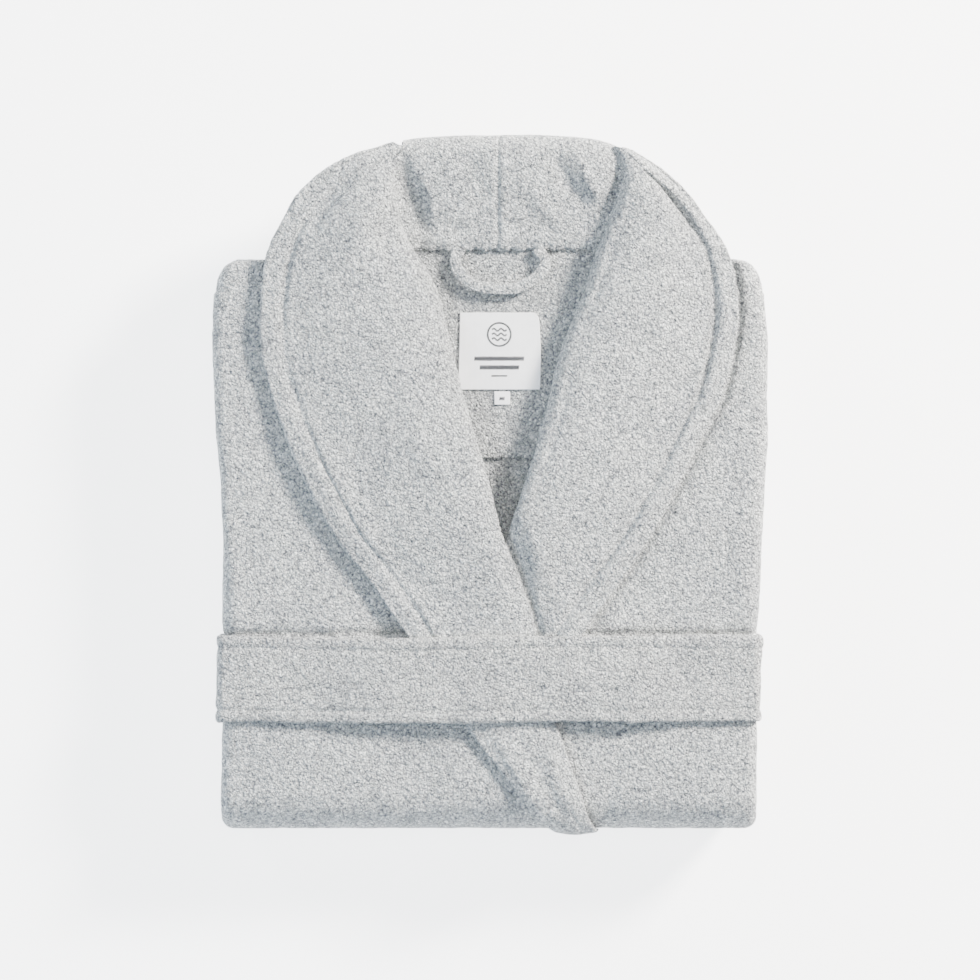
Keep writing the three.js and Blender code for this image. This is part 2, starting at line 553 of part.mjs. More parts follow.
function addCollar() {
  const right = lapelSolid(rightRoll, rightOuter);
  const rightClear = prism(lapelPlan(shifted(rightRoll, 1.6, 0), shifted(rightOuter, -1.6, 0)), 0, 200)
    .intersect(boxSolid(new THREE.Box3(new THREE.Vector3(-FAR, -999, 0), new THREE.Vector3(FAR, 0, 200))));
  add('lapel_right', right, terry());
  add('lapel_left', lapelSolid(leftRoll, leftOuter).subtract(rightClear), terry());
  add('under_collar_right', underCollar(rightRoll, rightOuter, -1), terry());
  add('under_collar_left', underCollar(leftRoll, leftOuter, 1).subtract(rightClear), terry());
  add('collar_back_right', backCollar(-1), terry());
  add('collar_back_left', backCollar(1), terry());
}

// ---- hanger loop, label and size tab ---------------------------------------------------------------------------
function addLoop() {
  const z = YOKE_Z + YOKE_T + GAP + STRAP[1] / 2;
  const half = LOOP_W / 2;
  const foot = NECK_Y - GAP - 0.2;
  const points = [[-half + 5, foot], [-half, foot - 7], [-half + 3, foot - 16], [-half * 0.5, foot - LOOP_DROP + 2],
    [0, foot - LOOP_DROP], [half * 0.5, foot - LOOP_DROP + 2], [half - 3, foot - 16], [half, foot - 7],
    [half - 5, foot]].map(([x, y]) => new THREE.Vector3(LOOP_X + x, y, z));
  const path = new THREE.CatmullRomCurve3(points);
  const oval = ellipseArc(new THREE.Vector2(0, 0), STRAP[1] / 2, STRAP[0] / 2, 0, 2 * Math.PI, 10).slice(0, -1);
  const tube = new THREE.ExtrudeGeometry(new THREE.Shape(oval), { steps: 26, extrudePath: path, bevelEnabled: false });
  const loop = solidOf(tube);
  const front = boxSolid(new THREE.Box3(new THREE.Vector3(-FAR, -999, 0), new THREE.Vector3(FAR, foot, 200)));
  add('hanger_loop', loop.intersect(front), terry());
}

function addLabels() {
  const z = YOKE_Z + YOKE_T + GAP;
  const top = NECK_Y - LABEL_DROP;
  const label = roundedRect(LABEL[0], LABEL[1], 1, top - LABEL[1] / 2);
  add('brand_label', prism(shifted(label, LABEL_X, 0), z, z + LABEL_T), satin());
  const tabY = top - LABEL[1] - GAP - TAB[1] / 2;
  add('size_tab', prism(shifted(roundedRect(TAB[0], TAB[1], 0.6, tabY), TAB_X, 0), z, z + TAB_T), satin());
}

// ---- belt ------------------------------------------------------------------------------------------------------
function addBelt() {
  const y0 = FOLD_Y + BELT_Y - BELT_W / 2;
  const y1 = y0 + BELT_W;
  const low = FRONT_TOP + GAP;
  const side0 = FOLD_W / 2 + BELT_FIT - BELT_ROUND - 1;
  const rampIn = (x, dir) => ellipseRamp(x, dir, low, BELT_HUMP_Z);
  const under = [new THREE.Vector2(-side0, low), ...rampIn(HUMP[0] - HUMP_RAMP, 1),
    ...rampIn(HUMP[1] + HUMP_RAMP, -1).reverse(), new THREE.Vector2(side0, low)];
  const over = shifted([...under].reverse(), 0, BELT_T);
  add('belt_front_run', alongY([...under, ...over], y0, y1), beltTerry());
  for (const s of sides) {
    add(`belt_wrap_${side[s]}`, alongY(wrapProfile(s, side0 + GAP), y0, y1), beltTerry());
    add(`belt_tail_${side[s]}`, alongY(tailProfile(s, side0), y0, y1), beltTerry());
  }
}

function ellipseRamp(x, dir, z0, z1) {
  return [0, 0.2, 0.4, 0.6, 0.8, 1].map((t) => new THREE.Vector2(x + dir * HUMP_RAMP * t, z0 + (z1 - z0) * eased(t)));
}

// Round the torso's side, from the front run to the tucked end.
function wrapProfile(s, fromX) {
  const top = FRONT_TOP + GAP + BELT_T;
  const bottom = TORSO_Z;
  const outX = FOLD_W / 2 + BELT_FIT;
  const r = BELT_ROUND;
  const outer = [...ellipseArc(new THREE.Vector2(outX - r, top - r), r, r, Math.PI / 2, 0, 6),
    ...ellipseArc(new THREE.Vector2(outX - r, bottom + r), r, r, 0, -Math.PI / 2, 6)];
  const t = BELT_T - 1.3;
  const inner = [...ellipseArc(new THREE.Vector2(outX - r, bottom + r), r - t, r - t, -Math.PI / 2, 0, 6),
    ...ellipseArc(new THREE.Vector2(outX - r, top - r), r - t, r - BELT_T, 0, Math.PI / 2, 6)];
  const ends = [new THREE.Vector2(fromX, top - BELT_T), new THREE.Vector2(fromX, top)];
  const foot = [new THREE.Vector2(fromX, bottom), new THREE.Vector2(fromX, bottom + t)];
  const ring = [ends[1], ...outer, foot[0], foot[1], ...inner, ends[0]];
  return ring.map((p) => new THREE.Vector2(s * p.x, p.y));
}

// The belt's end, folded to and fro under the torso.
function tailProfile(s, fromX) {
  const slit = 0.4;
  const run = (STACK_T - slit * (BELT_RUNS - 1)) / BELT_RUNS;
  const nearX = 5;
  const low = TORSO_Z;
  const line = [];
  const back = [];
  for (let i = 0; i < BELT_RUNS; i++) {
    const z = low + i * (run + slit);
    const outward = i % 2 === 1;
    const ends = outward ? [nearX + run, fromX - run] : [fromX - run, nearX + run];
    if (i === 0) ends[0] = fromX;
    line.push([ends[0], z], [ends[1], z]);
    back.push([ends[0], z + run], [ends[1], z + run]);
  }
  return zigzag(line, back, run, slit).map(([x, z]) => new THREE.Vector2(s * x, z));
}

// Walks down one face of the folded strip and back up the other, with a round turn at each fold.
function zigzag(line, back, run, slit) {
  const there = [];
  const home = [];
  const turnAt = (x, z, dir, r) => ellipseArc(new THREE.Vector2(x, z), r * dir, r, -Math.PI / 2, Math.PI / 2, 5)
    .map((p) => [p.x, p.y]);
  for (let i = 0; i * 2 < line.length; i++) {
    const [a, b] = [line[2 * i], line[2 * i + 1]];
    const [c, d] = [back[2 * i], back[2 * i + 1]];
    const even = i % 2 === 0;
    there.push(even ? a : c, even ? b : d);
    home.push(even ? c : a, even ? d : b);
    if (2 * i + 2 >= line.length) continue;
    const dir = Math.sign(b[0] - a[0]);
    const z = b[1] + run + slit / 2;
    const big = turnAt(b[0], z, dir, run + slit / 2);
    const small = turnAt(b[0], z, dir, slit / 2);
    there.push(...(even ? big : small));
    home.push(...(even ? small : big));
  }
  return [...there, ...home.reverse()];
}

// ---- assembly --------------------------------------------------------------------------------------------------
addSkirt();
addPockets();
addFronts();
addFrontBand();
addBack();
addSides();
addSleeves();
addCollar();
addLoop();
addLabels();
addBelt();

// The origin is the middle of the model's box, on the surface it lies on.
const box = new THREE.Box3().setFromObject(group);
const middle = box.getCenter(new THREE.Vector3());
group.children.forEach((mesh) => mesh.geometry.translate(-middle.x, -middle.y, -box.min.z));

export default group;
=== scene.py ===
import math

import bpy
import numpy as np
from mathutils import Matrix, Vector


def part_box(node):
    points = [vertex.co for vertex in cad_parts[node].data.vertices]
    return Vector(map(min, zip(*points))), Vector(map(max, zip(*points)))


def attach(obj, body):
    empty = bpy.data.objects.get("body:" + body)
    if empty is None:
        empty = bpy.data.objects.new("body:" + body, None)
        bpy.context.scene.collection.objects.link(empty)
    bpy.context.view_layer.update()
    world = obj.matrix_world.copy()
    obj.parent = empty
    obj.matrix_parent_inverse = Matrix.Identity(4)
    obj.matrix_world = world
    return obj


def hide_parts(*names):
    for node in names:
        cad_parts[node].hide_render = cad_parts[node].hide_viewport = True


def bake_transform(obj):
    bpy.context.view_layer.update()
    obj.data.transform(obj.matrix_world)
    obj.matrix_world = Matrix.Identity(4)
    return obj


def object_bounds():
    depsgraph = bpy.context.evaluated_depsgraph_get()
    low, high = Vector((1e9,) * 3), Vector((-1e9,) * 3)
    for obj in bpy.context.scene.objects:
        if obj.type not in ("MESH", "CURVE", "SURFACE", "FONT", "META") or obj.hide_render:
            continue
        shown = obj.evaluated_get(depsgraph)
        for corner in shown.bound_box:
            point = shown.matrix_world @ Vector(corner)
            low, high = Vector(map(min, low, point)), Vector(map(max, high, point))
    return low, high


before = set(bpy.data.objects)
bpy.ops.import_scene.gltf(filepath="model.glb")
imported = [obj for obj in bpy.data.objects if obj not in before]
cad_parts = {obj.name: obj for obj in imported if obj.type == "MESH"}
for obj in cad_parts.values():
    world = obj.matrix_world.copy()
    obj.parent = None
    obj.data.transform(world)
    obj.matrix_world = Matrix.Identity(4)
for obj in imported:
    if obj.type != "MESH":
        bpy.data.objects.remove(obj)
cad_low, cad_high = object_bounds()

MM = 0.001


# ---- places taken from the CAD pieces, in millimetres ----
def box(node):
    low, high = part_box(node)
    return np.array(low) / MM, np.array(high) / MM


SKIRT_LOW, SKIRT_HIGH = box("skirt_front_right")
PANEL_LOW, PANEL_HIGH = box("front_panel_right")
COLLAR_LOW, COLLAR_HIGH = box("collar_back_right")
YOKE_LOW, YOKE_HIGH = box("back_neck_yoke")
LABEL_LOW, LABEL_HIGH = box("brand_label")
TAB_LOW, TAB_HIGH = box("size_tab")
BELT_LOW, BELT_HIGH = box("belt_front_run")
WRAP_HIGH = box("belt_wrap_left")[1]
HEM_LOW, HEM_HIGH = box("hem_front_right")
LOOP_LOW, LOOP_HIGH = box("hanger_loop")

EDGE = -SKIRT_LOW[0]
HALF = -PANEL_LOW[0]
FOLD_Y = PANEL_LOW[1]
SHOULDER_Y = PANEL_HIGH[1]
SKIRT_H = SKIRT_HIGH[2]
TORSO_Z = PANEL_LOW[2]
FRONT_TOP = PANEL_HIGH[2]
TURN_Y = SKIRT_HIGH[1] - SKIRT_H / 2
BULGE = 25.0
BODY_L = SHOULDER_Y - FOLD_Y
RISE = COLLAR_HIGH[1] + 0.6 - SHOULDER_Y
NECK_Y = COLLAR_LOW[1]
SEAM_X = COLLAR_HIGH[0]
FRONT_T = 5.4
UNDER_COLLAR_T = 3.3
LAPEL_Z = FRONT_TOP + UNDER_COLLAR_T
LAPEL_W = 112.0
SIDES = ((-1, "right"), (1, "left"))
FOLD_OVERLAP = 0.36
FOLD_FULLNESS = 2.2


def at(points):
    p = np.array(points, float)
    y = np.where(p[:, 1] <= 1, FOLD_Y + p[:, 1] * BODY_L, SHOULDER_Y + (p[:, 1] - 1) * RISE)
    return np.stack([p[:, 0] * HALF, y], 1)


def spline(points, steps):
    """Catmull-Rom through the points, evenly spaced in their numbers."""
    p = np.asarray(points, float)
    t = np.linspace(0, len(p) - 1, steps)
    i = np.minimum(t.astype(int), len(p) - 2)
    f = (t - i)[:, None]
    a, b = p[np.maximum(i - 1, 0)], p[i]
    c, d = p[i + 1], p[np.minimum(i + 2, len(p) - 1)]
    return 0.5 * (2 * b + (c - a) * f + (2 * a - 5 * b + 4 * c - d) * f**2 + (3 * b - a - 3 * c + d) * f**3)


def eased(t):
    t = np.clip(t, 0, 1)
    return t * t * (3 - 2 * t)


RIGHT_ROLL = [[-0.282, 1.87], [-0.333, 1.69], [-0.327, 1.48], [-0.308, 1.25], [-0.26, 1.06], [-0.212, 0.975],
    [-0.172, 0.924], [-0.14, 0.845], [-0.068, 0.714], [-0.032, 0.653], [0.011, 0.574], [0.05, 0.504],
    [0.111, 0.434], [0.172, 0.33]]
RIGHT_REACH = [[-0.107, 0.049], [-0.289, 0.057], [-0.482, 0.089], [-0.673, 0.071], [-0.848, -0.018],
    [-0.955, -0.098], [-1.032, -0.171], [-1.049, -0.198], [-1.018, -0.15], [-0.943, -0.235], [-0.866, -0.237],
    [-0.77, -0.214], [-0.729, -0.185], [-0.71, -0.02]]
LEFT_ROLL = [[0.451, 1.9], [0.485, 1.75], [0.477, 1.57], [0.441, 1.34], [0.398, 1.13], [0.362, 0.976],
    [0.308, 0.907], [0.25, 0.82], [0.215, 0.75], [0.175, 0.68], [0.129, 0.61], [0.085, 0.54],
    [0.045, 0.48], [-0.02, 0.41], [-0.068, 0.33]]
LEFT_REACH = [[0.09, -0.03], [0.205, -0.03], [0.385, -0.05], [0.584, -0.06], [0.737, -0.06], [0.838, -0.11],
    [0.923, -0.113], [0.937, -0.19], [0.913, -0.125], [0.864, -0.13], [0.788, -0.19], [0.695, -0.22],
    [0.62, -0.22], [0.6, -0.17], [0.61, 0]]
RIGHT_EDGE = at([[0.172, 0.33], [0.215, 0.25], [0.254, 0.17], [0.297, 0.11], [0.348, 0.042], [0.4, -0.02]])
BAND_EDGE = at([[-0.18, 0.3], [-0.068, 0.172], [0.04, 0.105], [0.15, 0.04], [0.24, -0.02]])
SIDE_RIGHT = at([[-0.8, 1], [-0.93, 0.992], [-0.975, 0.965], [-0.994, 0.924], [-1, 0.784], [-0.978, 0.625],
    [-0.958, 0.43], [-0.966, 0.2], [-0.9718, 0.05], [-0.9718, -0.02]])
SIDE_LEFT = at([[0.8, 1], [0.93, 0.995], [0.975, 0.965], [0.99, 0.924], [1, 0.72], [0.98, 0.47],
    [0.972, 0.27], [0.9718, 0.05], [0.9718, -0.02]])
ARCH = at([[-0.35, 1.944], [-0.247, 1.981], [-0.032, 2], [0.255, 1.985], [0.398, 1.95], [0.54, 1.85]])

ALONG = 290
roll_right = spline(at(RIGHT_ROLL), ALONG)
outer_right = spline(at(RIGHT_ROLL) + np.array(RIGHT_REACH) * LAPEL_W, ALONG)
roll_left = spline(at(LEFT_ROLL), ALONG)
outer_left = spline(at(LEFT_ROLL) + np.array(LEFT_REACH) * LAPEL_W, ALONG)


def x_at(curve, y):
    """x of a curve that runs down the pack, at heights y up the pack."""
    order = np.argsort(curve[:, 1])
    return np.interp(y, curve[order, 1], curve[order, 0])


# ---- noise ----
def lattice(i, j, k, seed):
    h = (i * 374761393 + j * 668265263 + k * 1442695041 + seed * 974711) & 0xFFFFFFFF
    h = ((h ^ (h >> 13)) * 1274126177) & 0xFFFFFFFF
    return ((h ^ (h >> 16)) & 0xFFFF) / 32767.5 - 1.0


def noise(p, size, seed=0):
    q = np.asarray(p, float) / size
    cell = np.floor(q).astype(np.int64)
    f = q - cell
    f = f * f * (3 - 2 * f)
    total = np.zeros(len(q))
    for di in (0, 1):
        for dj in (0, 1):
            for dk in (0, 1):
                w = (f[:, 0] if di else 1 - f[:, 0]) * (f[:, 1] if dj else 1 - f[:, 1])
                w = w * (f[:, 2] if dk else 1 - f[:, 2])
                total += w * lattice(cell[:, 0] + di, cell[:, 1] + dj, cell[:, 2] + dk, seed)
    return total


def near(p, line):
    """Distance in plan from each point to a polyline, and how far along it is, from 0 to 1."""
    best = np.full(len(p), 1e9)
    where = np.zeros(len(p))
    for i in range(len(line) - 1):
        a, b = line[i], line[i + 1]
        d = b - a
        t = np.clip(((p[:, :2] - a) @ d) / (d @ d), 0, 1)
        r = np.hypot(p[:, 0] - a[0] - t * d[0], p[:, 1] - a[1] - t * d[1])
        closer = r < best
        best[closer], where[closer] = r[closer], ((i + t) / (len(line) - 1))[closer]
    return best, where


def crease(p, n, line, width, height, seed=0):
    """A soft ridge, or a groove where height is negative, on the surfaces that face up."""
    far, t = near(p, spline(at(line), 14))
    fade = np.sin(np.pi * np.clip(t, 0.02, 0.98)) ** 0.6
    wide = width * (1 + 0.25 * noise(p, 30, seed + 5))
    return height * fade * np.exp(-((far / wide) ** 2)) * np.clip(n[:, 2] * 1.6, 0, 1)


def folds(move, p, n, lines):
    """Adds creases to a shape. Each has its line in shares of the pack, its width and its height."""
    for line, width, height in lines:
        move += crease(p, n, line, width, height)
    return move


def groove(p, n, line, width, depth):
    """The narrow dip that one ply leaves beside its edge in the ply below it."""
    far, _ = near(p, line)
    return -depth * np.exp(-((far / width) ** 2)) * np.clip(n[:, 2] * 1.6, 0, 1)


# ---- meshes ----
def add(name, data):
    obj = bpy.data.objects.new(name, data)
    bpy.context.scene.collection.objects.link(obj)
    return obj


def weave(mesh, rough, shape, seed, ring=0):
    """Moves the surface along its normals: the uneven pile, and any folds of its own."""
    n = len(mesh.vertices)
    co, no = np.zeros(n * 3), np.zeros(n * 3)
    mesh.vertices.foreach_get("co", co)
    mesh.vertex_normals.foreach_get("vector", no)
    co, no = co.reshape(-1, 3) / MM, no.reshape(-1, 3)
    if ring:
        no[:ring], no[-ring:] = no[ring:2 * ring], no[-2 * ring:-ring]
    pile = 0.55 * noise(co, 4.2, seed) + 0.6 * noise(co, 2.3, seed + 1) + 0.7 * noise(co, 13, seed + 2)
    move = rough * pile
    if shape is not None:
        move = move + shape(co, no)
    co = co + no * move[:, None]
    mesh.vertices.foreach_set("co", (co * MM).ravel())
    mesh.update()


def place(name, verts, faces, material, rough=0.34, shape=None, seed=1, ring=0):
    mesh = bpy.data.meshes.new(name)
    mesh.from_pydata((np.asarray(verts) * MM).tolist(), [], faces)
    mesh.update()
    obj = add(name, mesh)
    volume = 0.0
    v = np.asarray(verts)
    for size in (3, 4):
        f = np.array([q for q in faces if len(q) == size])
        for k in range(1, size - 1):
            if len(f):
                volume += (v[f[:, 0]] * np.cross(v[f[:, k]], v[f[:, k + 1]])).sum()
    if volume < 0:
        mesh.flip_normals()
    weave(mesh, rough, shape, seed, ring)
    mesh.shade_smooth()
    if ring:
        ends = np.zeros(len(mesh.edges) * 2, np.int32)
        mesh.edges.foreach_get("vertices", ends)
        ends = ends.reshape(-1, 2)
        last = len(v) - ring
        sharp = (ends < ring).all(1) | (ends >= last).all(1)
        mesh.attributes.new("sharp_edge", "BOOLEAN", "EDGE").data.foreach_set("value", sharp)
    mesh.materials.append(material)
    return obj


def loft(name, sections, material, **how):
    """A skin over closed sections with the same number of points, its ends closed to their middles."""
    s = np.asarray(sections, float)
    n, m = s.shape[:2]
    verts = s.reshape(-1, 3)
    i, j = np.meshgrid(np.arange(n - 1), np.arange(m), indexing="ij")
    a, b = i * m + j, i * m + (j + 1) % m
    faces = np.stack([a, b, b + m, a + m], -1).reshape(-1, 4).tolist()
    half = m // 2
    for base, flip in ((0, True), ((n - 1) * m, False)):
        for k in range(half - 1):
            q = [base + k, base + k + 1, base + m - 2 - k, base + m - 1 - k]
            faces.append(q[::-1] if flip else q)
        if m % 2:
            q = [base + half - 1, base + half, base + half + 1]
            faces.append(q[::-1] if flip else q)
    return place(name, verts, faces, material, ring=m, **how)


def ribbon(line, t):
    """A closed section round a centre line: one face there and the other face back."""
    d = np.gradient(line, axis=0)
    d /= np.maximum(np.linalg.norm(d, axis=1), 1e-9)[:, None]
    side = np.stack([-d[:, 1], d[:, 0]], 1) * (np.asarray(t) / 2)[:, None]
    return np.concatenate([line + side, (line - side)[::-1]])


ROUND = np.array([0.04, 0.13, 0.3, 0.5, 0.75, 1.0])


def rounded(e):
    """Share of the full thickness at a share e of the way in across a round edge."""
    return np.sqrt(np.maximum(1 - (1 - np.clip(e, 0, 1)) ** 2, 0.002))


def rounding(s, length, r):
    """Share of the full thickness at s along a strip with round edges."""
    return rounded(np.minimum(s, length - s) / r)


def stops(length, r, count):
    """Places across a strip, close together at its round edges."""
    edge = ROUND * r * 0.98
    inner = np.linspace(edge[-1], length - edge[-1], count)[1:-1]
    return np.concatenate([[0.0], edge, inner, length - edge[::-1], [length]])


def hooked(x_in, x_out, r, t, back, count):
    """Centre line and thickness of a ply whose outer side rolls under, for x that grows outwards."""
    flat = x_out - r - x_in
    first = np.concatenate([[0.0], ROUND * t / 2, np.linspace(t / 2, flat, count)[1:]])
    a = np.linspace(0, np.pi, 19)[1:]
    last = np.concatenate([np.linspace(0, back - t / 2, 4)[1:], back - t / 2 * (1 - ROUND)])
    x = np.concatenate([x_in + first, x_out - r + (r - t / 2) * np.sin(a), x_out - r - last])
    d = np.concatenate([first * 0 + t / 2, r - (r - t / 2) * np.cos(a), last * 0 + 2 * r - t / 2])
    thick = np.full(len(x), t)
    thick[:len(first)] = t * rounded(first / (t / 2))
    thick[-len(last):] = t * rounded((back - last) / (t / 2))
    return np.stack([x, d], 1), thick


STEP = 1.9


def arc(start, end, count):
    """Unit vectors that turn from one angle to another."""
    a = np.linspace(start, end, count)
    return np.stack([np.cos(a), np.sin(a)], 1)


def skirt_path(part="body"):
    """Outer face of the skirt and the way out of it: round the bottom fold and back over itself."""
    c = np.array([FOLD_Y + BULGE, SKIRT_H])
    dirs = arc(np.pi, 1.5 * np.pi, 26)
    path = [[[FOLD_Y, SKIRT_H + FOLD_OVERLAP]], c + dirs * [BULGE, SKIRT_H]]
    out = [[[-1.0, 0.0]], dirs]
    y = np.arange(FOLD_Y + BULGE + STEP, TURN_Y - STEP / 2, STEP)
    path.append(np.stack([y, y * 0], 1))
    out.append(np.tile([0.0, -1.0], (len(y), 1)))
    dirs = arc(-np.pi / 2, np.pi / 2, 32)
    path.append(np.array([TURN_Y, SKIRT_H / 2]) + dirs * SKIRT_H / 2)
    out.append(dirs)
    y = np.arange(TURN_Y - STEP, HEM_LOW[1], -STEP)
    path.append(np.stack([y, y * 0 + SKIRT_H], 1))
    out.append(np.tile([0.0, 1.0], (len(y), 1)))
    path, out = np.concatenate(path), np.concatenate(out)
    inner = (path[:, 1] > SKIRT_H - 0.01) & (path[:, 0] > FOLD_Y + BULGE / 2)
    hem = inner & (path[:, 0] < HEM_HIGH[1])
    keep = hem if part == "hem" else ~hem
    return path[keep], out[keep]


def torso_path(y_end=None):
    """Outer face of the torso from the bottom fold to the shoulders, and the way out of it."""
    c = np.array([FOLD_Y + BULGE, TORSO_Z])
    rise = FRONT_TOP - TORSO_Z
    dirs = arc(np.pi, np.pi / 2, 26)
    y_end = SHOULDER_Y if y_end is None else y_end
    y = np.arange(FOLD_Y + BULGE + STEP, y_end, STEP)
    y = np.append(y[y < y_end - 5], y_end - 5 * (1 - np.sin(np.linspace(0, np.pi / 2, 8))))
    path = np.concatenate([[[FOLD_Y, TORSO_Z - FOLD_OVERLAP]], c + dirs * [BULGE, rise],
        np.stack([y, y * 0 + FRONT_TOP], 1)])
    out = np.concatenate([[[-1.0, 0.0]], dirs, np.tile([0.0, 1.0], (len(y), 1))])
    return path, out


def sweep(name, path, out, section, material, **how):
    """A ply along a path, a little fuller at the bottom fold. section gives x and depth inwards."""
    rings = []
    for k, (p, o) in enumerate(zip(path, out)):
        xd = section(k, p)
        p = p - [FOLD_FULLNESS * float(eased((FOLD_Y + 64 - p[0]) / 60)), 0]
        rings.append(np.stack([xd[:, 0], p[0] - xd[:, 1] * o[0], p[1] - xd[:, 1] * o[1]], 1))
    return loft(name, rings, material, **how)


def soften(node, material, voxel=1.7, smooth=7, rough=0.3, shape=None, warp=None, seed=3):
    """A hidden or half-hidden ply: a copy of its CAD solid with its edges rounded off and its pile uneven."""
    voxel = voxel * 1.0
    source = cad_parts[node]
    mesh = source.data.copy()
    co = np.zeros(len(mesh.vertices) * 3)
    mesh.vertices.foreach_get("co", co)
    co = co.reshape(-1, 3) / MM
    if warp is not None:
        co = warp(co)
    mesh.vertices.foreach_set("co", (co * MM).ravel())
    mesh.materials.clear()
    obj = add(node + "_solid", mesh)
    m = obj.modifiers.new("remesh", "REMESH")
    m.mode, m.voxel_size = "VOXEL", voxel * MM
    made = bpy.data.meshes.new_from_object(obj.evaluated_get(bpy.context.evaluated_depsgraph_get()))
    bpy.data.objects.remove(obj)
    bpy.data.meshes.remove(mesh)
    n = len(made.vertices)
    edges = np.zeros(len(made.edges) * 2, np.int32)
    made.edges.foreach_get("vertices", edges)
    edges = edges.reshape(-1, 2)
    a, b = np.concatenate([edges[:, 0], edges[:, 1]]), np.concatenate([edges[:, 1], edges[:, 0]])
    count = np.maximum(np.bincount(a, minlength=n), 1)
    co = np.zeros(n * 3)
    made.vertices.foreach_get("co", co)
    co = co.reshape(-1, 3)
    for _ in range(smooth):
        mean = np.stack([np.bincount(a, co[b, axis], n) for axis in range(3)], 1) / count[:, None]
        co = co + 0.5 * (mean - co)
    made.vertices.foreach_set("co", co.ravel())
    made.update()
    weave(made, rough, shape, seed)
    made.name = node + "_cloth"
    made.shade_smooth()
    made.materials.append(material)
    return add(node + "_cloth", made)


# ---- materials ----
def wire(tree, a, b):
    tree.links.new(a, b)


def node(tree, kind, **values):
    n = tree.nodes.new(kind)
    for key, value in values.items():
        if key in n.inputs.keys():
            n.inputs[key].default_value = value
        else:
            setattr(n, key, value)
    return n


def ramp(tree, colours):
    n = tree.nodes.new("ShaderNodeValToRGB")
    for element, (position, colour) in zip(n.color_ramp.elements, (colours[0], colours[-1])):
        element.position, element.color = position, (*colour, 1)
    for position, colour in colours[1:-1]:
        n.color_ramp.elements.new(position).color = (*colour, 1)
    return n


def mix(tree, kind, factor, a, b):
    n = tree.nodes.new("ShaderNodeMix")
    n.data_type, n.blend_type = "RGBA", kind
    for key, value in ((0, factor), (6, a), (7, b)):
        if hasattr(value, "is_output"):
            wire(tree, value, n.inputs[key])
        else:
            n.inputs[key].default_value = value
    return n.outputs[2]


def new_material(name):
    m = bpy.data.materials.new(name)
    m.use_nodes = True
    return m, m.node_tree, m.node_tree.nodes["Principled BSDF"]


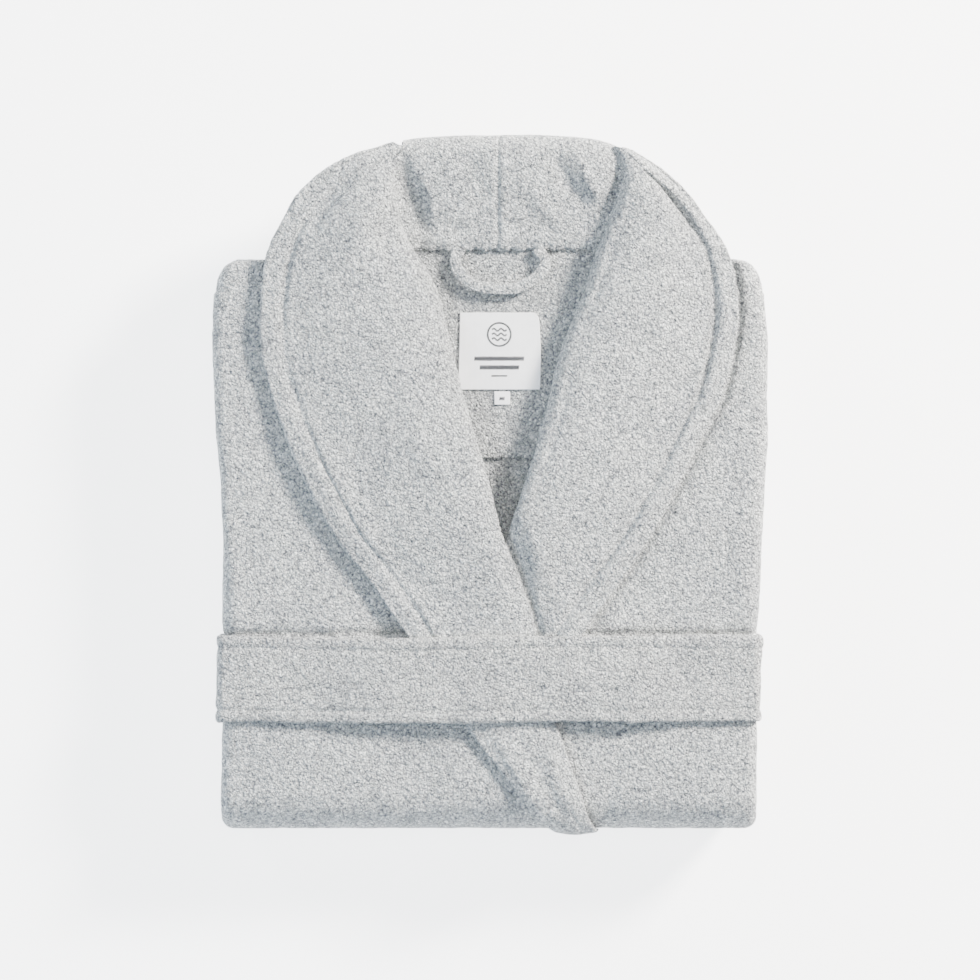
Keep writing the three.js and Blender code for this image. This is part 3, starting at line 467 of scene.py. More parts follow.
def terry(name, base, dark, light, loops=600.0):
    """Looped cotton pile in grey melange: single loops and light and dark yarn, with painted shade in the
    gaps between the loops and painted highlight and shade in patches of leaning pile.
    """
    m, t, shader = new_material(name)
    coordinates = node(t, "ShaderNodeTexCoord").outputs["Object"]
    bend = node(t, "ShaderNodeTexNoise", Scale=260.0, Detail=2.0)
    wire(t, coordinates, bend.inputs["Vector"])
    shift = node(t, "ShaderNodeVectorMath", operation="SCALE", Scale=0.0028)
    wire(t, bend.outputs["Color"], shift.inputs[0])
    moved = node(t, "ShaderNodeVectorMath", operation="ADD")
    wire(t, coordinates, moved.inputs[0])
    wire(t, shift.outputs[0], moved.inputs[1])
    loop = node(t, "ShaderNodeTexVoronoi", Scale=loops, Randomness=1.0)
    wire(t, moved.outputs[0], loop.inputs["Vector"])
    fibre = node(t, "ShaderNodeTexNoise", Scale=loops * 0.88, Detail=2.5, Roughness=0.72, Distortion=1.7)
    wire(t, coordinates, fibre.inputs["Vector"])
    lean = node(t, "ShaderNodeTexNoise", Scale=34.0, Detail=3.0, Roughness=0.55)
    wire(t, coordinates, lean.inputs["Vector"])
    tuft = node(t, "ShaderNodeTexNoise", Scale=170.0, Detail=2.0, Roughness=0.6)
    wire(t, coordinates, tuft.inputs["Vector"])
    yarn = node(t, "ShaderNodeSeparateColor")
    wire(t, loop.outputs["Color"], yarn.inputs[0])
    darkest = tuple(0.45 * a + 0.55 * b for a, b in zip(base, dark))
    darker = tuple(0.85 * a + 0.15 * b for a, b in zip(base, dark))
    tone = ramp(t, [(0.0, darkest), (0.2, darker), (0.45, base), (0.72, base), (1.0, light)])
    wire(t, yarn.outputs[0], tone.inputs[0])
    # Painted shade: the colour is darkened in the gaps between the loops, where shade falls, and lightened at
    # the loop middles as a painted highlight.
    loop_gap_shade = ramp(t, [(0.0, (1.12, 1.12, 1.12)), (0.4, (0.98, 0.98, 0.98)), (0.85, (0.42, 0.43, 0.46))])
    wire(t, loop.outputs["Distance"], loop_gap_shade.inputs[0])
    colour = mix(t, "MULTIPLY", 1.0, tone.outputs[0], loop_gap_shade.outputs[0])
    strand = ramp(t, [(0.37, (0.27, 0.285, 0.315)), (0.5, (0.98, 0.98, 0.98)), (0.63, (1.56, 1.56, 1.55))])
    wire(t, fibre.outputs[0], strand.inputs[0])
    colour = mix(t, "MULTIPLY", 1.0, colour, strand.outputs[0])
    # Painted highlight and shade: patches where the pile leans are made lighter or darker in the colour, as
    # light would catch them.
    lean_light_and_shade = ramp(t, [(0.28, (0.88, 0.885, 0.9)), (0.5, (1, 1, 1)), (0.75, (1.07, 1.07, 1.06))])
    wire(t, lean.outputs[0], lean_light_and_shade.inputs[0])
    colour = mix(t, "MULTIPLY", 1.0, colour, lean_light_and_shade.outputs[0])
    clump = ramp(t, [(0.3, (0.93, 0.935, 0.945)), (0.55, (1, 1, 1)), (0.8, (1.03, 1.03, 1.03))])
    wire(t, tuft.outputs[0], clump.inputs[0])
    colour = mix(t, "MULTIPLY", 0.8, colour, clump.outputs[0])
    wire(t, colour, shader.inputs["Base Color"])
    high = node(t, "ShaderNodeMath", operation="MULTIPLY_ADD")
    wire(t, loop.outputs["Distance"], high.inputs[0])
    high.inputs[1].default_value = -1.0
    wire(t, fibre.outputs[0], high.inputs[2])
    lump = node(t, "ShaderNodeMath", operation="MULTIPLY_ADD")
    wire(t, tuft.outputs[0], lump.inputs[0])
    lump.inputs[1].default_value = 1.2
    wire(t, high.outputs[0], lump.inputs[2])
    bump = node(t, "ShaderNodeBump", Strength=1.0, Distance=0.0025)
    wire(t, lump.outputs[0], bump.inputs["Height"])
    wire(t, bump.outputs[0], shader.inputs["Normal"])
    shader.inputs["Roughness"].default_value = 0.94
    shader.inputs["Specular IOR Level"].default_value = 0.12
    shader.inputs["Sheen Weight"].default_value = 0.22
    shader.inputs["Sheen Roughness"].default_value = 0.55
    return m


def satin(name, colour, thread=2400.0):
    """Tightly woven label tape: fine warp and weft, a soft shine and a faint unevenness of tone."""
    m, t, shader = new_material(name)
    coordinates = node(t, "ShaderNodeTexCoord").outputs["Object"]
    warp = node(t, "ShaderNodeTexWave", Scale=thread / 6, Distortion=0.6, Detail=1.0, bands_direction="X")
    weft = node(t, "ShaderNodeTexWave", Scale=thread / 4, Distortion=0.6, Detail=1.0, bands_direction="Y")
    tone = node(t, "ShaderNodeTexNoise", Scale=130.0, Detail=3.0)
    for n in (warp, weft, tone):
        wire(t, coordinates, n.inputs["Vector"])
    both = mix(t, "MULTIPLY", 1.0, warp.outputs[0], weft.outputs[0])
    threads = ramp(t, [(0.0, tuple(c * 0.86 for c in colour)), (0.6, colour)])
    wire(t, both, threads.inputs[0])
    cloud = ramp(t, [(0.3, (0.93, 0.93, 0.94)), (0.7, (1, 1, 1))])
    wire(t, tone.outputs[0], cloud.inputs[0])
    wire(t, mix(t, "MULTIPLY", 1.0, threads.outputs[0], cloud.outputs[0]), shader.inputs["Base Color"])
    bump = node(t, "ShaderNodeBump", Strength=0.35, Distance=0.00012)
    wire(t, both, bump.inputs["Height"])
    wire(t, bump.outputs[0], shader.inputs["Normal"])
    shader.inputs["Roughness"].default_value = 0.42
    shader.inputs["Sheen Weight"].default_value = 0.1
    return m


cloth = terry("terry", (0.70, 0.715, 0.71), (0.27, 0.285, 0.295), (0.97, 0.975, 0.96))
# Painted shade: a darker copy of the terry for the plies that lie inside and under the others, with the shade
# that falls on them painted into its colour.
inside = terry("terry_inside", (0.56, 0.575, 0.575), (0.26, 0.27, 0.28), (0.93, 0.94, 0.92), loops=640.0)
belting = terry("terry_belt", (0.67, 0.68, 0.672), (0.26, 0.27, 0.275), (0.95, 0.955, 0.93), loops=640.0)
tape = satin("satin", (0.97, 0.975, 0.99))
ink = satin("thread_dark", (0.06, 0.062, 0.068), thread=1500.0)


def off_crease(p):
    """0 where the torso meets the skirt at the bottom fold, 1 away from it."""
    gap = np.abs(p[:, 2] - (SKIRT_H + TORSO_Z) / 2)
    return np.where(p[:, 1] < FOLD_Y + BULGE + 2, eased(gap / 24), 1.0)


def bend(obj, lean):
    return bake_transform(obj)


def skirt_piece(obj, *nodes, slot="terry", bends=True):
    bend(obj, -1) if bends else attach(obj, "skirt")
    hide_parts(*nodes)


def torso_piece(obj, *nodes, slot="terry", bends=False):
    bend(obj, 1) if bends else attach(obj, "torso")
    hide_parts(*nodes)


def moving_piece(obj, body, *nodes, slot="terry"):
    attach(obj, body)
    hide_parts(*nodes)


# ---- skirt ----
SKIRT_T, SKIRT_R = 6.6, 10.1
INSIDE_ROLL = 8.5
LAP_R, LAP_L = box("skirt_band_left")[0][0] - 0.3, box("skirt_band_right")[1][0]
MIDDLE = box("skirt_band_right")[0][0]
ACROSS = 84


def skirt_front(s, part):
    """One skirt front, its side rolled in. The two fronts are half as thick where they lap."""
    path, out = skirt_path(part)
    x_in = -(MIDDLE - 0.4) if s < 0 else MIDDLE + 0.3
    lap = -LAP_R if s < 0 else LAP_L + 0.4
    line, thick = hooked(x_in, EDGE, SKIRT_R, SKIRT_T, 13, ACROSS)
    share = eased((line[:, 0] - lap + 1.5) / 3)
    half = SKIRT_T / 2 - 0.2
    shift = -(SKIRT_T - half) / 2 if s < 0 else (SKIRT_T - half) / 2
    flat = line[:, 1] < SKIRT_T / 2 + 0.01
    line[:, 1] += np.where(flat, shift * (1 - share), 0)
    thick = np.where(flat, thick * (half + (SKIRT_T - half) * share) / SKIRT_T, thick)
    ring = ribbon(line, thick)
    ring[:, 0] *= s

    def section(k, p):
        r = ring.copy()
        if part == "hem":
            far = abs(p[0] - (HEM_HIGH[1] - 4))
            r[:, 1] += np.where(r[:, 1] < 1, 0.9 * math.exp(-(far / 1.6) ** 2), 0)
        return r

    def shape(p, n):
        roll = np.abs(p[:, 0]) > EDGE - 26
        return off_crease(p) * np.where(roll, 0.9 * noise(p, [90, 22, 22], 31), 0.5 * noise(p, 46, 32))

    return path, out, section, shape


for s, side in SIDES:
    path, out, section, shape = skirt_front(s, "body")
    o = sweep(f"skirt_front_{side}_cloth", path, out, section, cloth, shape=shape, seed=11)
    skirt_piece(o, f"skirt_front_{side}")
    path, out, section, shape = skirt_front(s, "hem")
    o = sweep(f"hem_front_{side}_cloth", path, out, section, cloth, shape=shape, seed=14 + s)
    skirt_piece(o, f"hem_front_{side}", bends=False)


def skirt_band(name, x0, x1, near_d, t, part, nodes, seed):
    path, out = skirt_path(part)
    s = stops(x1 - x0, t / 2, 44)
    thick = t * rounding(s, x1 - x0, t / 2) - 0.5 * np.exp(-((np.minimum(s, x1 - x0 - s) - 5) / 1.1) ** 2)
    ring = ribbon(np.stack([x0 + s, s * 0 + near_d + t / 2], 1), thick)
    shape = lambda p, n: 0.3 * noise(p, 30, seed)
    o = sweep(name, path, out, lambda k, p: ring, cloth, seed=seed, shape=shape)
    skirt_piece(o, *nodes, bends=part != "hem")


half_t = SKIRT_T / 2 - 0.2
skirt_band("skirt_band_right_cloth", MIDDLE, LAP_L, 0.0, half_t, "body", ["skirt_band_right"], 21)
skirt_band("hem_band_right_cloth", MIDDLE, LAP_L, 0.0, half_t, "hem", ["hem_band_right"], 22)
skirt_band("skirt_band_left_cloth", LAP_R + 0.3, MIDDLE, 3.7, half_t, "body", ["skirt_band_left"], 23)
skirt_band("hem_band_left_cloth", LAP_R + 0.3, MIDDLE, 3.7, half_t, "hem", ["hem_band_left"], 24)


def narrow(limit, inner=None):
    """Draws the outer side of a piece in to a limit, and leaves its inner side where it is."""
    def warp(co):
        x = co[:, 0].copy()
        for s in (-1, 1):
            m = x * s > 0
            if not m.any():
                continue
            top = (x[m] * s).max()
            base = 0.0 if inner is None else inner
            if top > limit:
                f = np.clip((x[m] * s - base) / (top - base), 0, 1)
                x[m] = s * (x[m] * s - f * (top - limit))
        co = co.copy()
        co[:, 0] = x
        return co
    return warp


def thin(warp, share):
    """The same warp, and the piece drawn up under the ply above it."""
    def both(co):
        co = warp(co)
        top = co[:, 2].max()
        co[:, 2] = top - (top - co[:, 2]) * share
        return co
    return both


o = soften("skirt_back", inside, 1.9, warp=narrow(EDGE - INSIDE_ROLL), seed=41)
skirt_piece(o, "skirt_back", slot="terry_inside")
o = soften("hem_back", inside, 1.7, warp=narrow(EDGE - INSIDE_ROLL), seed=42)
skirt_piece(o, "hem_back", slot="terry_inside", bends=False)
for s, side in SIDES:
    o = soften(f"skirt_side_{side}", inside, 2.0, warp=narrow(EDGE - 21),
        seed=43 + s)
    skirt_piece(o, f"skirt_side_{side}", slot="terry_inside", bends=False)
    o = soften(f"pocket_{side}", cloth, 1.2, 3, rough=0.2, seed=46 + s)
    skirt_piece(o, f"pocket_{side}", bends=False)
    o = soften(f"pocket_hem_{side}", cloth, 1.2, 3, rough=0.2, seed=48 + s)
    skirt_piece(o, f"pocket_hem_{side}", bends=False)

# ---- torso fronts ----
TORSO_R = 8.1
BELT_Y = (BELT_LOW[1] + BELT_HIGH[1]) / 2
right_side, left_side = spline(SIDE_RIGHT, 200), spline(SIDE_LEFT, 200)
edge_right = spline(RIGHT_EDGE, 80)
FLAT = 118


def inner_right(y):
    return np.where(y > RIGHT_EDGE[0, 1], x_at(roll_right, y), x_at(edge_right, y)) - 6


def inner_left(y):
    return np.maximum(np.where(y > RIGHT_EDGE[0, 1], x_at(roll_left, y) + 6, -1e3), inner_right(y) + 0.6)


beside = outer_left - roll_left
beside_left = (outer_left + 1.0 * beside / np.linalg.norm(beside, axis=1)[:, None])[ALONG // 9:-ALONG // 16:5]


RIGHT_FRONT_FOLDS = [
    ([[-0.98, 0.62], [-0.93, 0.5], [-0.9, 0.36]], 5, 1.2),
    ([[-0.6, 0.36], [-0.5, 0.33], [-0.36, 0.335]], 5, 1.2),
    ([[-0.2, 0.155], [-0.1, 0.12], [0.0, 0.05]], 5, 1.8),
    ([[-0.55, 0.15], [-0.4, 0.09], [-0.32, 0.03]], 6, 1.0),
]
LEFT_FRONT_FOLDS = [
    ([[0.5, 0.14], [0.44, 0.08], [0.42, 0.0]], 5, -1.6),
    ([[0.97, 0.66], [0.9, 0.5], [0.93, 0.34]], 6, 1.2),
    ([[0.9, 0.13], [0.78, 0.1], [0.7, 0.04]], 6, 0.9),
]


def front_shape(s):
    """Folds of one front, the dips beside the lapel and belt, and a flat run for the belt to slide on."""
    def shape(p, n):
        move = 1.4 * noise(p, [60, 90, 60], 51 + s) + 0.8 * noise(p, [22, 30, 24], 53 + s)
        move += 0.5 * noise(p, [130, 16, 40], 57) * np.exp(-((p[:, 1] - BELT_LOW[1] + 8) / 16) ** 2)
        if s < 0:
            move = folds(move, p, n, RIGHT_FRONT_FOLDS)
        else:
            move = folds(move, p, n, LEFT_FRONT_FOLDS) + groove(p, n, beside_left, 2.6, 3.3)
        move -= 3.2 * np.exp(-((p[:, 1] - BELT_HIGH[1] - 0.8) / 2.5) ** 2) * np.clip(n[:, 2], 0, 1)
        slid_on = (p[:, 1] < BELT_HIGH[1] + 2) & (move > 0)
        return np.where(slid_on, 0.4 * np.tanh(move / 0.4), move) * off_crease(p)
    return shape


for s, side in SIDES:
    path, out = torso_path()
    edges = right_side if s < 0 else left_side

    def section(k, p, s=s, edges=edges):
        y = max(p[0], FOLD_Y + 2)
        x_out = min(abs(float(x_at(edges, y))), HALF)
        x_out -= 1.8 * math.exp(-(((y - BELT_Y) / 34) ** 4))
        if p[0] > SHOULDER_Y - 22:
            round_off = 1 - math.sqrt(max(0.0, 1 - ((p[0] - SHOULDER_Y + 22) / 22.5) ** 2))
            x_out = min(x_out, HALF - 3 - 17 * round_off)
        x_in = float(inner_right(p[0])) * s if s < 0 else float(inner_left(p[0]))
        line, thick = hooked(x_in, x_out, TORSO_R, FRONT_T, 11, FLAT)
        if k > len(path) - 9:
            e = (SHOULDER_Y - p[0]) / 5
            thick = thick * (0.12 + 0.88 * math.sqrt(max(1 - (1 - e) ** 2, 0.003)))
        ring = ribbon(line, thick)
        ring[:, 0] *= s
        return ring

    o = sweep(f"front_panel_{side}_cloth", path, out, section, cloth, shape=front_shape(s), seed=11)
    torso_piece(o, f"front_panel_{side}", bends=True)


# ---- front band under the belt ----
band_line = spline(BAND_EDGE, 80)
path, out = torso_path(y_end=BELT_HIGH[1] - 10)
keep = path[:, 1] > TORSO_Z + 4
path, out = path[keep], out[keep]


def band_section(k, p):
    y = p[0] - (2.0 if p[1] < FRONT_TOP - 6 else 0)
    x0, x1 = float(x_at(band_line, y)), float(x_at(edge_right, y))
    if p[1] < FRONT_TOP - 3:
        slack = (FRONT_TOP - 3 - p[1]) * 0.35
        x0, x1 = x0 + slack * 0.9, x1 + slack * 0.25
    w = x1 - x0
    t = 4.4
    s = stops(w, t / 2, 40)
    thick = t * rounding(s, w, t / 2)
    thick = thick - 0.9 * np.exp(-((w - s - 9) / 1.3) ** 2)
    lift = 2.2 * np.sin(np.pi * np.clip(s / w, 0, 1)) ** 1.4
    close = math.sqrt(max(0.02, 1 - (1 - min(1, k / 8)) ** 2))
    ring = ribbon(np.stack([x0 + s, -(0.4 + t / 2 * close) - lift * close], 1), thick * close)
    return ring


BAND_FOLDS = [
    ([[0.02, 0.17], [0.1, 0.1], [0.2, 0.02]], 4, 1.6),
    ([[0.12, 0.15], [0.2, 0.08], [0.27, 0.02]], 3.4, -1.4),
    ([[0.2, 0.16], [0.26, 0.08], [0.32, 0.02]], 4, 1.4),
]


def band_shape(p, n):
    return folds(0.5 * noise(p, 18, 71), p, n, BAND_FOLDS)


o = sweep("front_band_right_cloth", path, out, band_section, cloth, shape=band_shape, seed=72)
torso_piece(o, "front_band_right")


# ---- lapels ----
def lapel_sections(roll, outer, flip, sink=None):
    """Closed sections from the roll to the outer edge: a full roll, a flatter run and a stitched edge."""
    rings = []
    n = len(roll)
    share = np.arange(n) / (n - 1)
    for i in range(n):
        a, b = roll[i], outer[i]
        w = float(np.hypot(*(b - a)))
        u = (b - a) / w
        flat = eased((share[i] - 0.62) / 0.38)
        rise = 14.5 * (1 - 0.76 * flat) * (0.45 + 0.55 * eased(share[i] / 0.12))
        drop = 0 if share[i] < 0.1 else min(1, (share[i] - 0.1) / 0.12) * (1 - eased((share[i] - 0.52) / 0.2))
        low = LAPEL_Z - (LAPEL_Z - YOKE_HIGH[2] - 1.5) * drop
        high = LAPEL_Z + rise
        middle = low + (high - low) * (0.42 if drop > 0.5 else 0.5)
        lip = min(6.0, w * 0.4)
        wide = min(15.0 + 14 * drop, w * 0.42)
        q = np.linspace(0, np.pi / 2, 20)
        top_s, top_z = wide * (1 - np.cos(q)), middle + (high - middle) * np.sin(q)
        re = min(2.8, rise * 0.4, w * 0.1)
        c = np.linspace(wide, w - re, 70)[1:]
        k = (c - wide) / (w - wide)
        crown = rise * (1 - 0.66 * eased(k / 0.96) ** 1.1)
        inset = w - c
        seam = min(1.0, w / 40)
        worn = (1.1 if flip < 0 else 0.62) * (1 + 0.25 * math.sin(share[i] * 19 + flip))
        crown = np.maximum(crown, 3.3)
        crown = crown - 2.4 * worn * seam * np.exp(-((inset - 15.5) / 1.7) ** 2)
        crown = crown + 1.4 * worn * seam * np.exp(-((inset - 9.0) / 3.8) ** 2)
        crown = np.maximum(crown, 1.5)
        z_end = LAPEL_Z + crown[-1]
        q = np.linspace(np.pi / 2, -np.pi / 2, 11)[1:]
        edge_s = w - re + re * np.cos(q)
        edge_z = (z_end + LAPEL_Z) / 2 + (z_end - LAPEL_Z) / 2 * np.sin(q)
        back_s = np.linspace(w - re, lip, 68)[1:]
        back_z = back_s * 0 + LAPEL_Z
        q = np.linspace(np.pi / 2, 0, 12)
        under_s, under_z = lip * (1 - np.cos(q)), middle - (middle - low) * np.sin(q)
        if flip < 0:
            ridge = min(1.0, w / 60) * (0.8 + 0.3 * math.sin(share[i] * 23))
            top_z = top_z - 0.9 * ridge * np.exp(-((top_s - 9.5) / 1.7) ** 2)
            top_z = top_z + 0.5 * ridge * np.exp(-((top_s - 5.5) / 2.4) ** 2)
        across = np.concatenate([top_s, c, edge_s, back_s, under_s[:-1]])
        z = np.concatenate([top_z, LAPEL_Z + crown, edge_z, back_z, under_z[:-1]])
        ring = np.column_stack([a + across[:, None] * u, z])
        if sink is not None:
            ring = sink(ring)
        rings.append(ring)
    return rings


RIGHT_LAPEL_FOLDS = [
    ([[-0.42, 1.86], [-0.62, 1.66], [-0.72, 1.36]], 4.5, 3.2),
    ([[-0.38, 1.72], [-0.54, 1.54], [-0.64, 1.2]], 5, -3.0),
    ([[-0.36, 1.62], [-0.44, 1.3], [-0.5, 1.05]], 6, 2.6),
    ([[-0.37, 1.3], [-0.36, 1.1], [-0.3, 0.9]], 6, -2.0),
    ([[-0.68, 1.25], [-0.8, 1.02], [-0.82, 0.84]], 7, 1.3),
    ([[-0.3, 0.8], [-0.24, 0.66], [-0.12, 0.55]], 9, 1.1),
    ([[-0.4, 0.56], [-0.3, 0.45], [-0.1, 0.38]], 8, -1.0),
    ([[0.0, 0.5], [0.03, 0.44], [0.08, 0.36]], 6, 1.4),
    ([[-0.62, 0.7], [-0.5, 0.56], [-0.36, 0.46]], 8, 1.2),
]
LEFT_LAPEL_FOLDS = [
    ([[0.56, 1.86], [0.7, 1.62], [0.8, 1.38]], 4.5, 2.8),
    ([[0.53, 1.7], [0.66, 1.45], [0.74, 1.15]], 5, -2.4),
    ([[0.6, 1.1], [0.62, 0.9], [0.55, 0.75]], 9, 1.2),
    ([[0.45, 0.8], [0.36, 0.66], [0.24, 0.54]], 8, -1.0),
    ([[0.3, 0.62], [0.2, 0.5], [0.17, 0.4]], 7, 1.3),
    ([[0.78, 0.9], [0.74, 0.75], [0.66, 0.62]], 7, 1.2),
]


def right_shape(p, n):
    return folds(1.7 * noise(p, [48, 70, 60], 81) + 0.9 * noise(p, [20, 30, 24], 82), p, n, RIGHT_LAPEL_FOLDS)


def left_shape(p, n):
    move = folds(1.7 * noise(p, [48, 70, 60], 85) + 0.9 * noise(p, [20, 30, 24], 86), p, n, LEFT_LAPEL_FOLDS)
    return move + groove(p, n, roll_right[int(ALONG * 0.78)::5] + [2.6, 1.0], 3.0, 2.8)


def under_the_right(ring):
    """The left lapel goes under the right one's roll, so it sinks as it nears that line."""
    y = ring[:, 1]
    line = x_at(roll_right, y)
    away = ring[:, 0] - line
    low = y < at([[0, 0.56]])[0, 1]
    f = 1 - eased((away - 1) / 20)
    f = f * eased((at([[0, 0.56]])[0, 1] - y) / 16)
    top = LAPEL_Z + 0.4 + (ring[:, 2] - LAPEL_Z) * 0.12
    ring = ring.copy()
    ring[:, 2] = np.where(low, ring[:, 2] * (1 - f) + np.minimum(top, ring[:, 2]) * f, ring[:, 2])
    ring[:, 0] = np.where(low & (away < -5), line - 5, ring[:, 0])
    return ring


sections = lapel_sections(roll_right, outer_right, 1)
o = loft("lapel_right_cloth", sections, cloth, shape=right_shape, seed=83, rough=0.4)
torso_piece(o, "lapel_right")
sections = lapel_sections(roll_left, outer_left, -1, under_the_right)
o = loft("lapel_left_cloth", sections, cloth, shape=left_shape, seed=87, rough=0.4)
torso_piece(o, "lapel_left")


# ---- back of the collar ----
arch = spline(ARCH, 120)


def collar_half(s):
    """Sections of one half of the collar's inside, from the centre-back seam out under the lapel's roll."""
    limit = 77.0 if s < 0 else 92.0
    xs = np.concatenate([[0.02, 0.4, 0.9, 1.6, 2.5], np.linspace(3.6, limit, 70)])
    rings = []
    for dx in xs:
        x = SEAM_X + s * dx
        y1 = float(np.interp(x, arch[:, 0], arch[:, 1]))
        x_roll = roll_right if s < 0 else roll_left
        t = np.concatenate([[0, 0.008, 0.018, 0.032, 0.05], np.linspace(0.07, 1, 41)])
        height = 71.2 + (COLLAR_HIGH[2] - 71.4) * eased(t / 0.86) ** 0.85
        height = height + 1.5 * np.exp(-((t - 0.11) / 0.06) ** 2)
        height = height - 3.6 * (1 - np.sqrt(1 - np.clip(1 - t / 0.035, 0, 1) ** 2))
        fall = 1 - np.sqrt(np.maximum(0, 1 - np.clip((t - 0.8) / 0.2, 0, 1) ** 2.4))
        top = height - 12.5 * fall
        groove = 1.0 * math.exp(-(dx / 1.3) ** 2) - 0.5 * math.exp(-((dx - 4) / 2.0) ** 2)
        top = top - groove
        hang = NECK_Y - 1.5 + 0.7 * math.sin(x * 0.55) + 0.45 * math.sin(x * 1.31 + 2)
        y = hang + t**1.05 * (y1 - hang)
        bottom = np.full(46, COLLAR_LOW[2] + 0.5) + 8 * np.clip((t[::-1] - 0.85) / 0.15, 0, 1) ** 2
        bottom = bottom + (YOKE_HIGH[2] + 0.3 - COLLAR_LOW[2]) * np.clip(1 - t[::-1] / 0.06, 0, 1)
        yb = hang + 0.3 + t[::-1] * (y1 - 1.2 - hang - 0.3)
        span = np.column_stack([np.full(92, x), np.concatenate([y, yb]), np.concatenate([top, bottom])])
        line = x_at(x_roll, span[:, 1])
        past = (span[:, 0] - line) * s
        span[:, 0] = np.where(past > 5, line + s * 5, span[:, 0])
        rings.append(span)
    return rings


COLLAR_FOLDS = [
    ([[-0.33, 1.84], [-0.28, 1.5], [-0.24, 1.16]], 8, -6.0),
    ([[-0.28, 1.75], [-0.2, 1.45], [-0.1, 1.25]], 5, 2.0),
    ([[-0.24, 1.55], [-0.16, 1.35], [-0.08, 1.15]], 5, -2.0),
    ([[-0.1, 1.9], [-0.04, 1.6], [0.0, 1.4]], 7, -1.2),
    ([[0.43, 1.9], [0.47, 1.6], [0.42, 1.3]], 7, -5.0),
    ([[0.22, 1.85], [0.28, 1.6], [0.36, 1.4]], 6, -3.4),
    ([[0.3, 1.9], [0.35, 1.65], [0.4, 1.45]], 4, 1.8),
    ([[0.1, 1.7], [0.2, 1.4], [0.3, 1.22]], 6, 1.4),
]


def collar_shape(p, n):
    return folds(0.7 * noise(p, [30, 50, 40], 91) + 0.35 * noise(p, 14, 92), p, n, COLLAR_FOLDS)


for s, side in SIDES:
    o = loft(f"collar_back_{side}_cloth", collar_half(s), cloth, shape=collar_shape, seed=93 + s, rough=0.2)
    torso_piece(o, f"collar_back_{side}")
    o = soften(f"under_collar_{side}", cloth, 1.5, 6, seed=96 + s)
    torso_piece(o, f"under_collar_{side}")

# ---- inner plies of the torso ----
o = soften("back_neck_yoke", inside, 1.25, 3, rough=0.26, seed=101,
    shape=lambda p, n: 0.35 * noise(p, 26, 102) * np.clip(n[:, 2], 0, 1))
torso_piece(o, "back_neck_yoke", slot="terry_inside")
o = soften("back_panel", inside, 1.4, 4, warp=narrow(EDGE - 8), seed=103)
torso_piece(o, "back_panel", slot="terry_inside", bends=True)
for s, side in SIDES:
    o = soften(f"side_turn_{side}", inside, 1.4, 5, rough=0.2,
        warp=thin(narrow(EDGE - 20, 12), 0.78), seed=104 + s)
    torso_piece(o, f"side_turn_{side}", slot="terry_inside")
    o = soften(f"sleeve_{side}", inside, 1.9, 8, rough=0.34, seed=107 + s,
        shape=lambda p, n: 0.5 * noise(p, 30, 108))
    torso_piece(o, f"sleeve_{side}", slot="terry_inside")
    o = soften(f"cuff_{side}", inside, 1.5, 6, seed=110 + s)
    torso_piece(o, f"cuff_{side}", slot="terry_inside")


# ---- hanger loop ----
loop_half = (LOOP_HIGH[0] - LOOP_LOW[0]) / 2 - 4
loop_mid = (LOOP_HIGH[0] + LOOP_LOW[0]) / 2
foot, tip = LOOP_HIGH[1], LOOP_LOW[1] + 4
hang = foot - tip
loop_z = (LOOP_LOW[2] + LOOP_HIGH[2]) / 2
loop_path = spline([[-loop_half + 3, foot + 0.3], [-loop_half - 0.4, foot - 7], [-loop_half + 3, foot - 16],
    [-loop_half * 0.55, foot - hang + 2.4], [0, foot - hang], [loop_half * 0.5, foot - hang + 2],
    [loop_half - 2, foot - 15], [loop_half, foot - 7], [loop_half - 5, foot + 0.3]], 110)
loop_path = loop_path + [loop_mid, 0]
rings = []
d = np.gradient(loop_path, axis=0)
d /= np.linalg.norm(d, axis=1)[:, None]
for k, p in enumerate(loop_path):
    a = np.linspace(0, 2 * np.pi, 33)[:-1]
    wide = 3.7 * (1 + 0.06 * math.sin(k * 0.31))
    across = wide * np.cos(a)
    up = 2.5 * np.sin(a) * (1 + 0.16 * np.cos(2 * a))
    seam = -0.55 * np.exp(-((across + 2.2) / 0.55) ** 2) * (np.sin(a) > 0)
    arch_up = 0.4 + 2.6 * math.sin(math.pi * k / (len(loop_path) - 1)) ** 0.8
    sideways = np.array([-d[k, 1], d[k, 0]])
    rings.append(np.column_stack([p + across[:, None] * sideways, loop_z + arch_up + up + seam]))
o = loft("hanger_loop_cloth", rings, cloth, rough=0.3, seed=121)
moving_piece(o, "hanger", "hanger_loop")


# ---- label and tab ----
LABEL_T, TAB_T = 0.8, 0.5
LABEL_SAG, LABEL_GAP = 0.9, 0.15


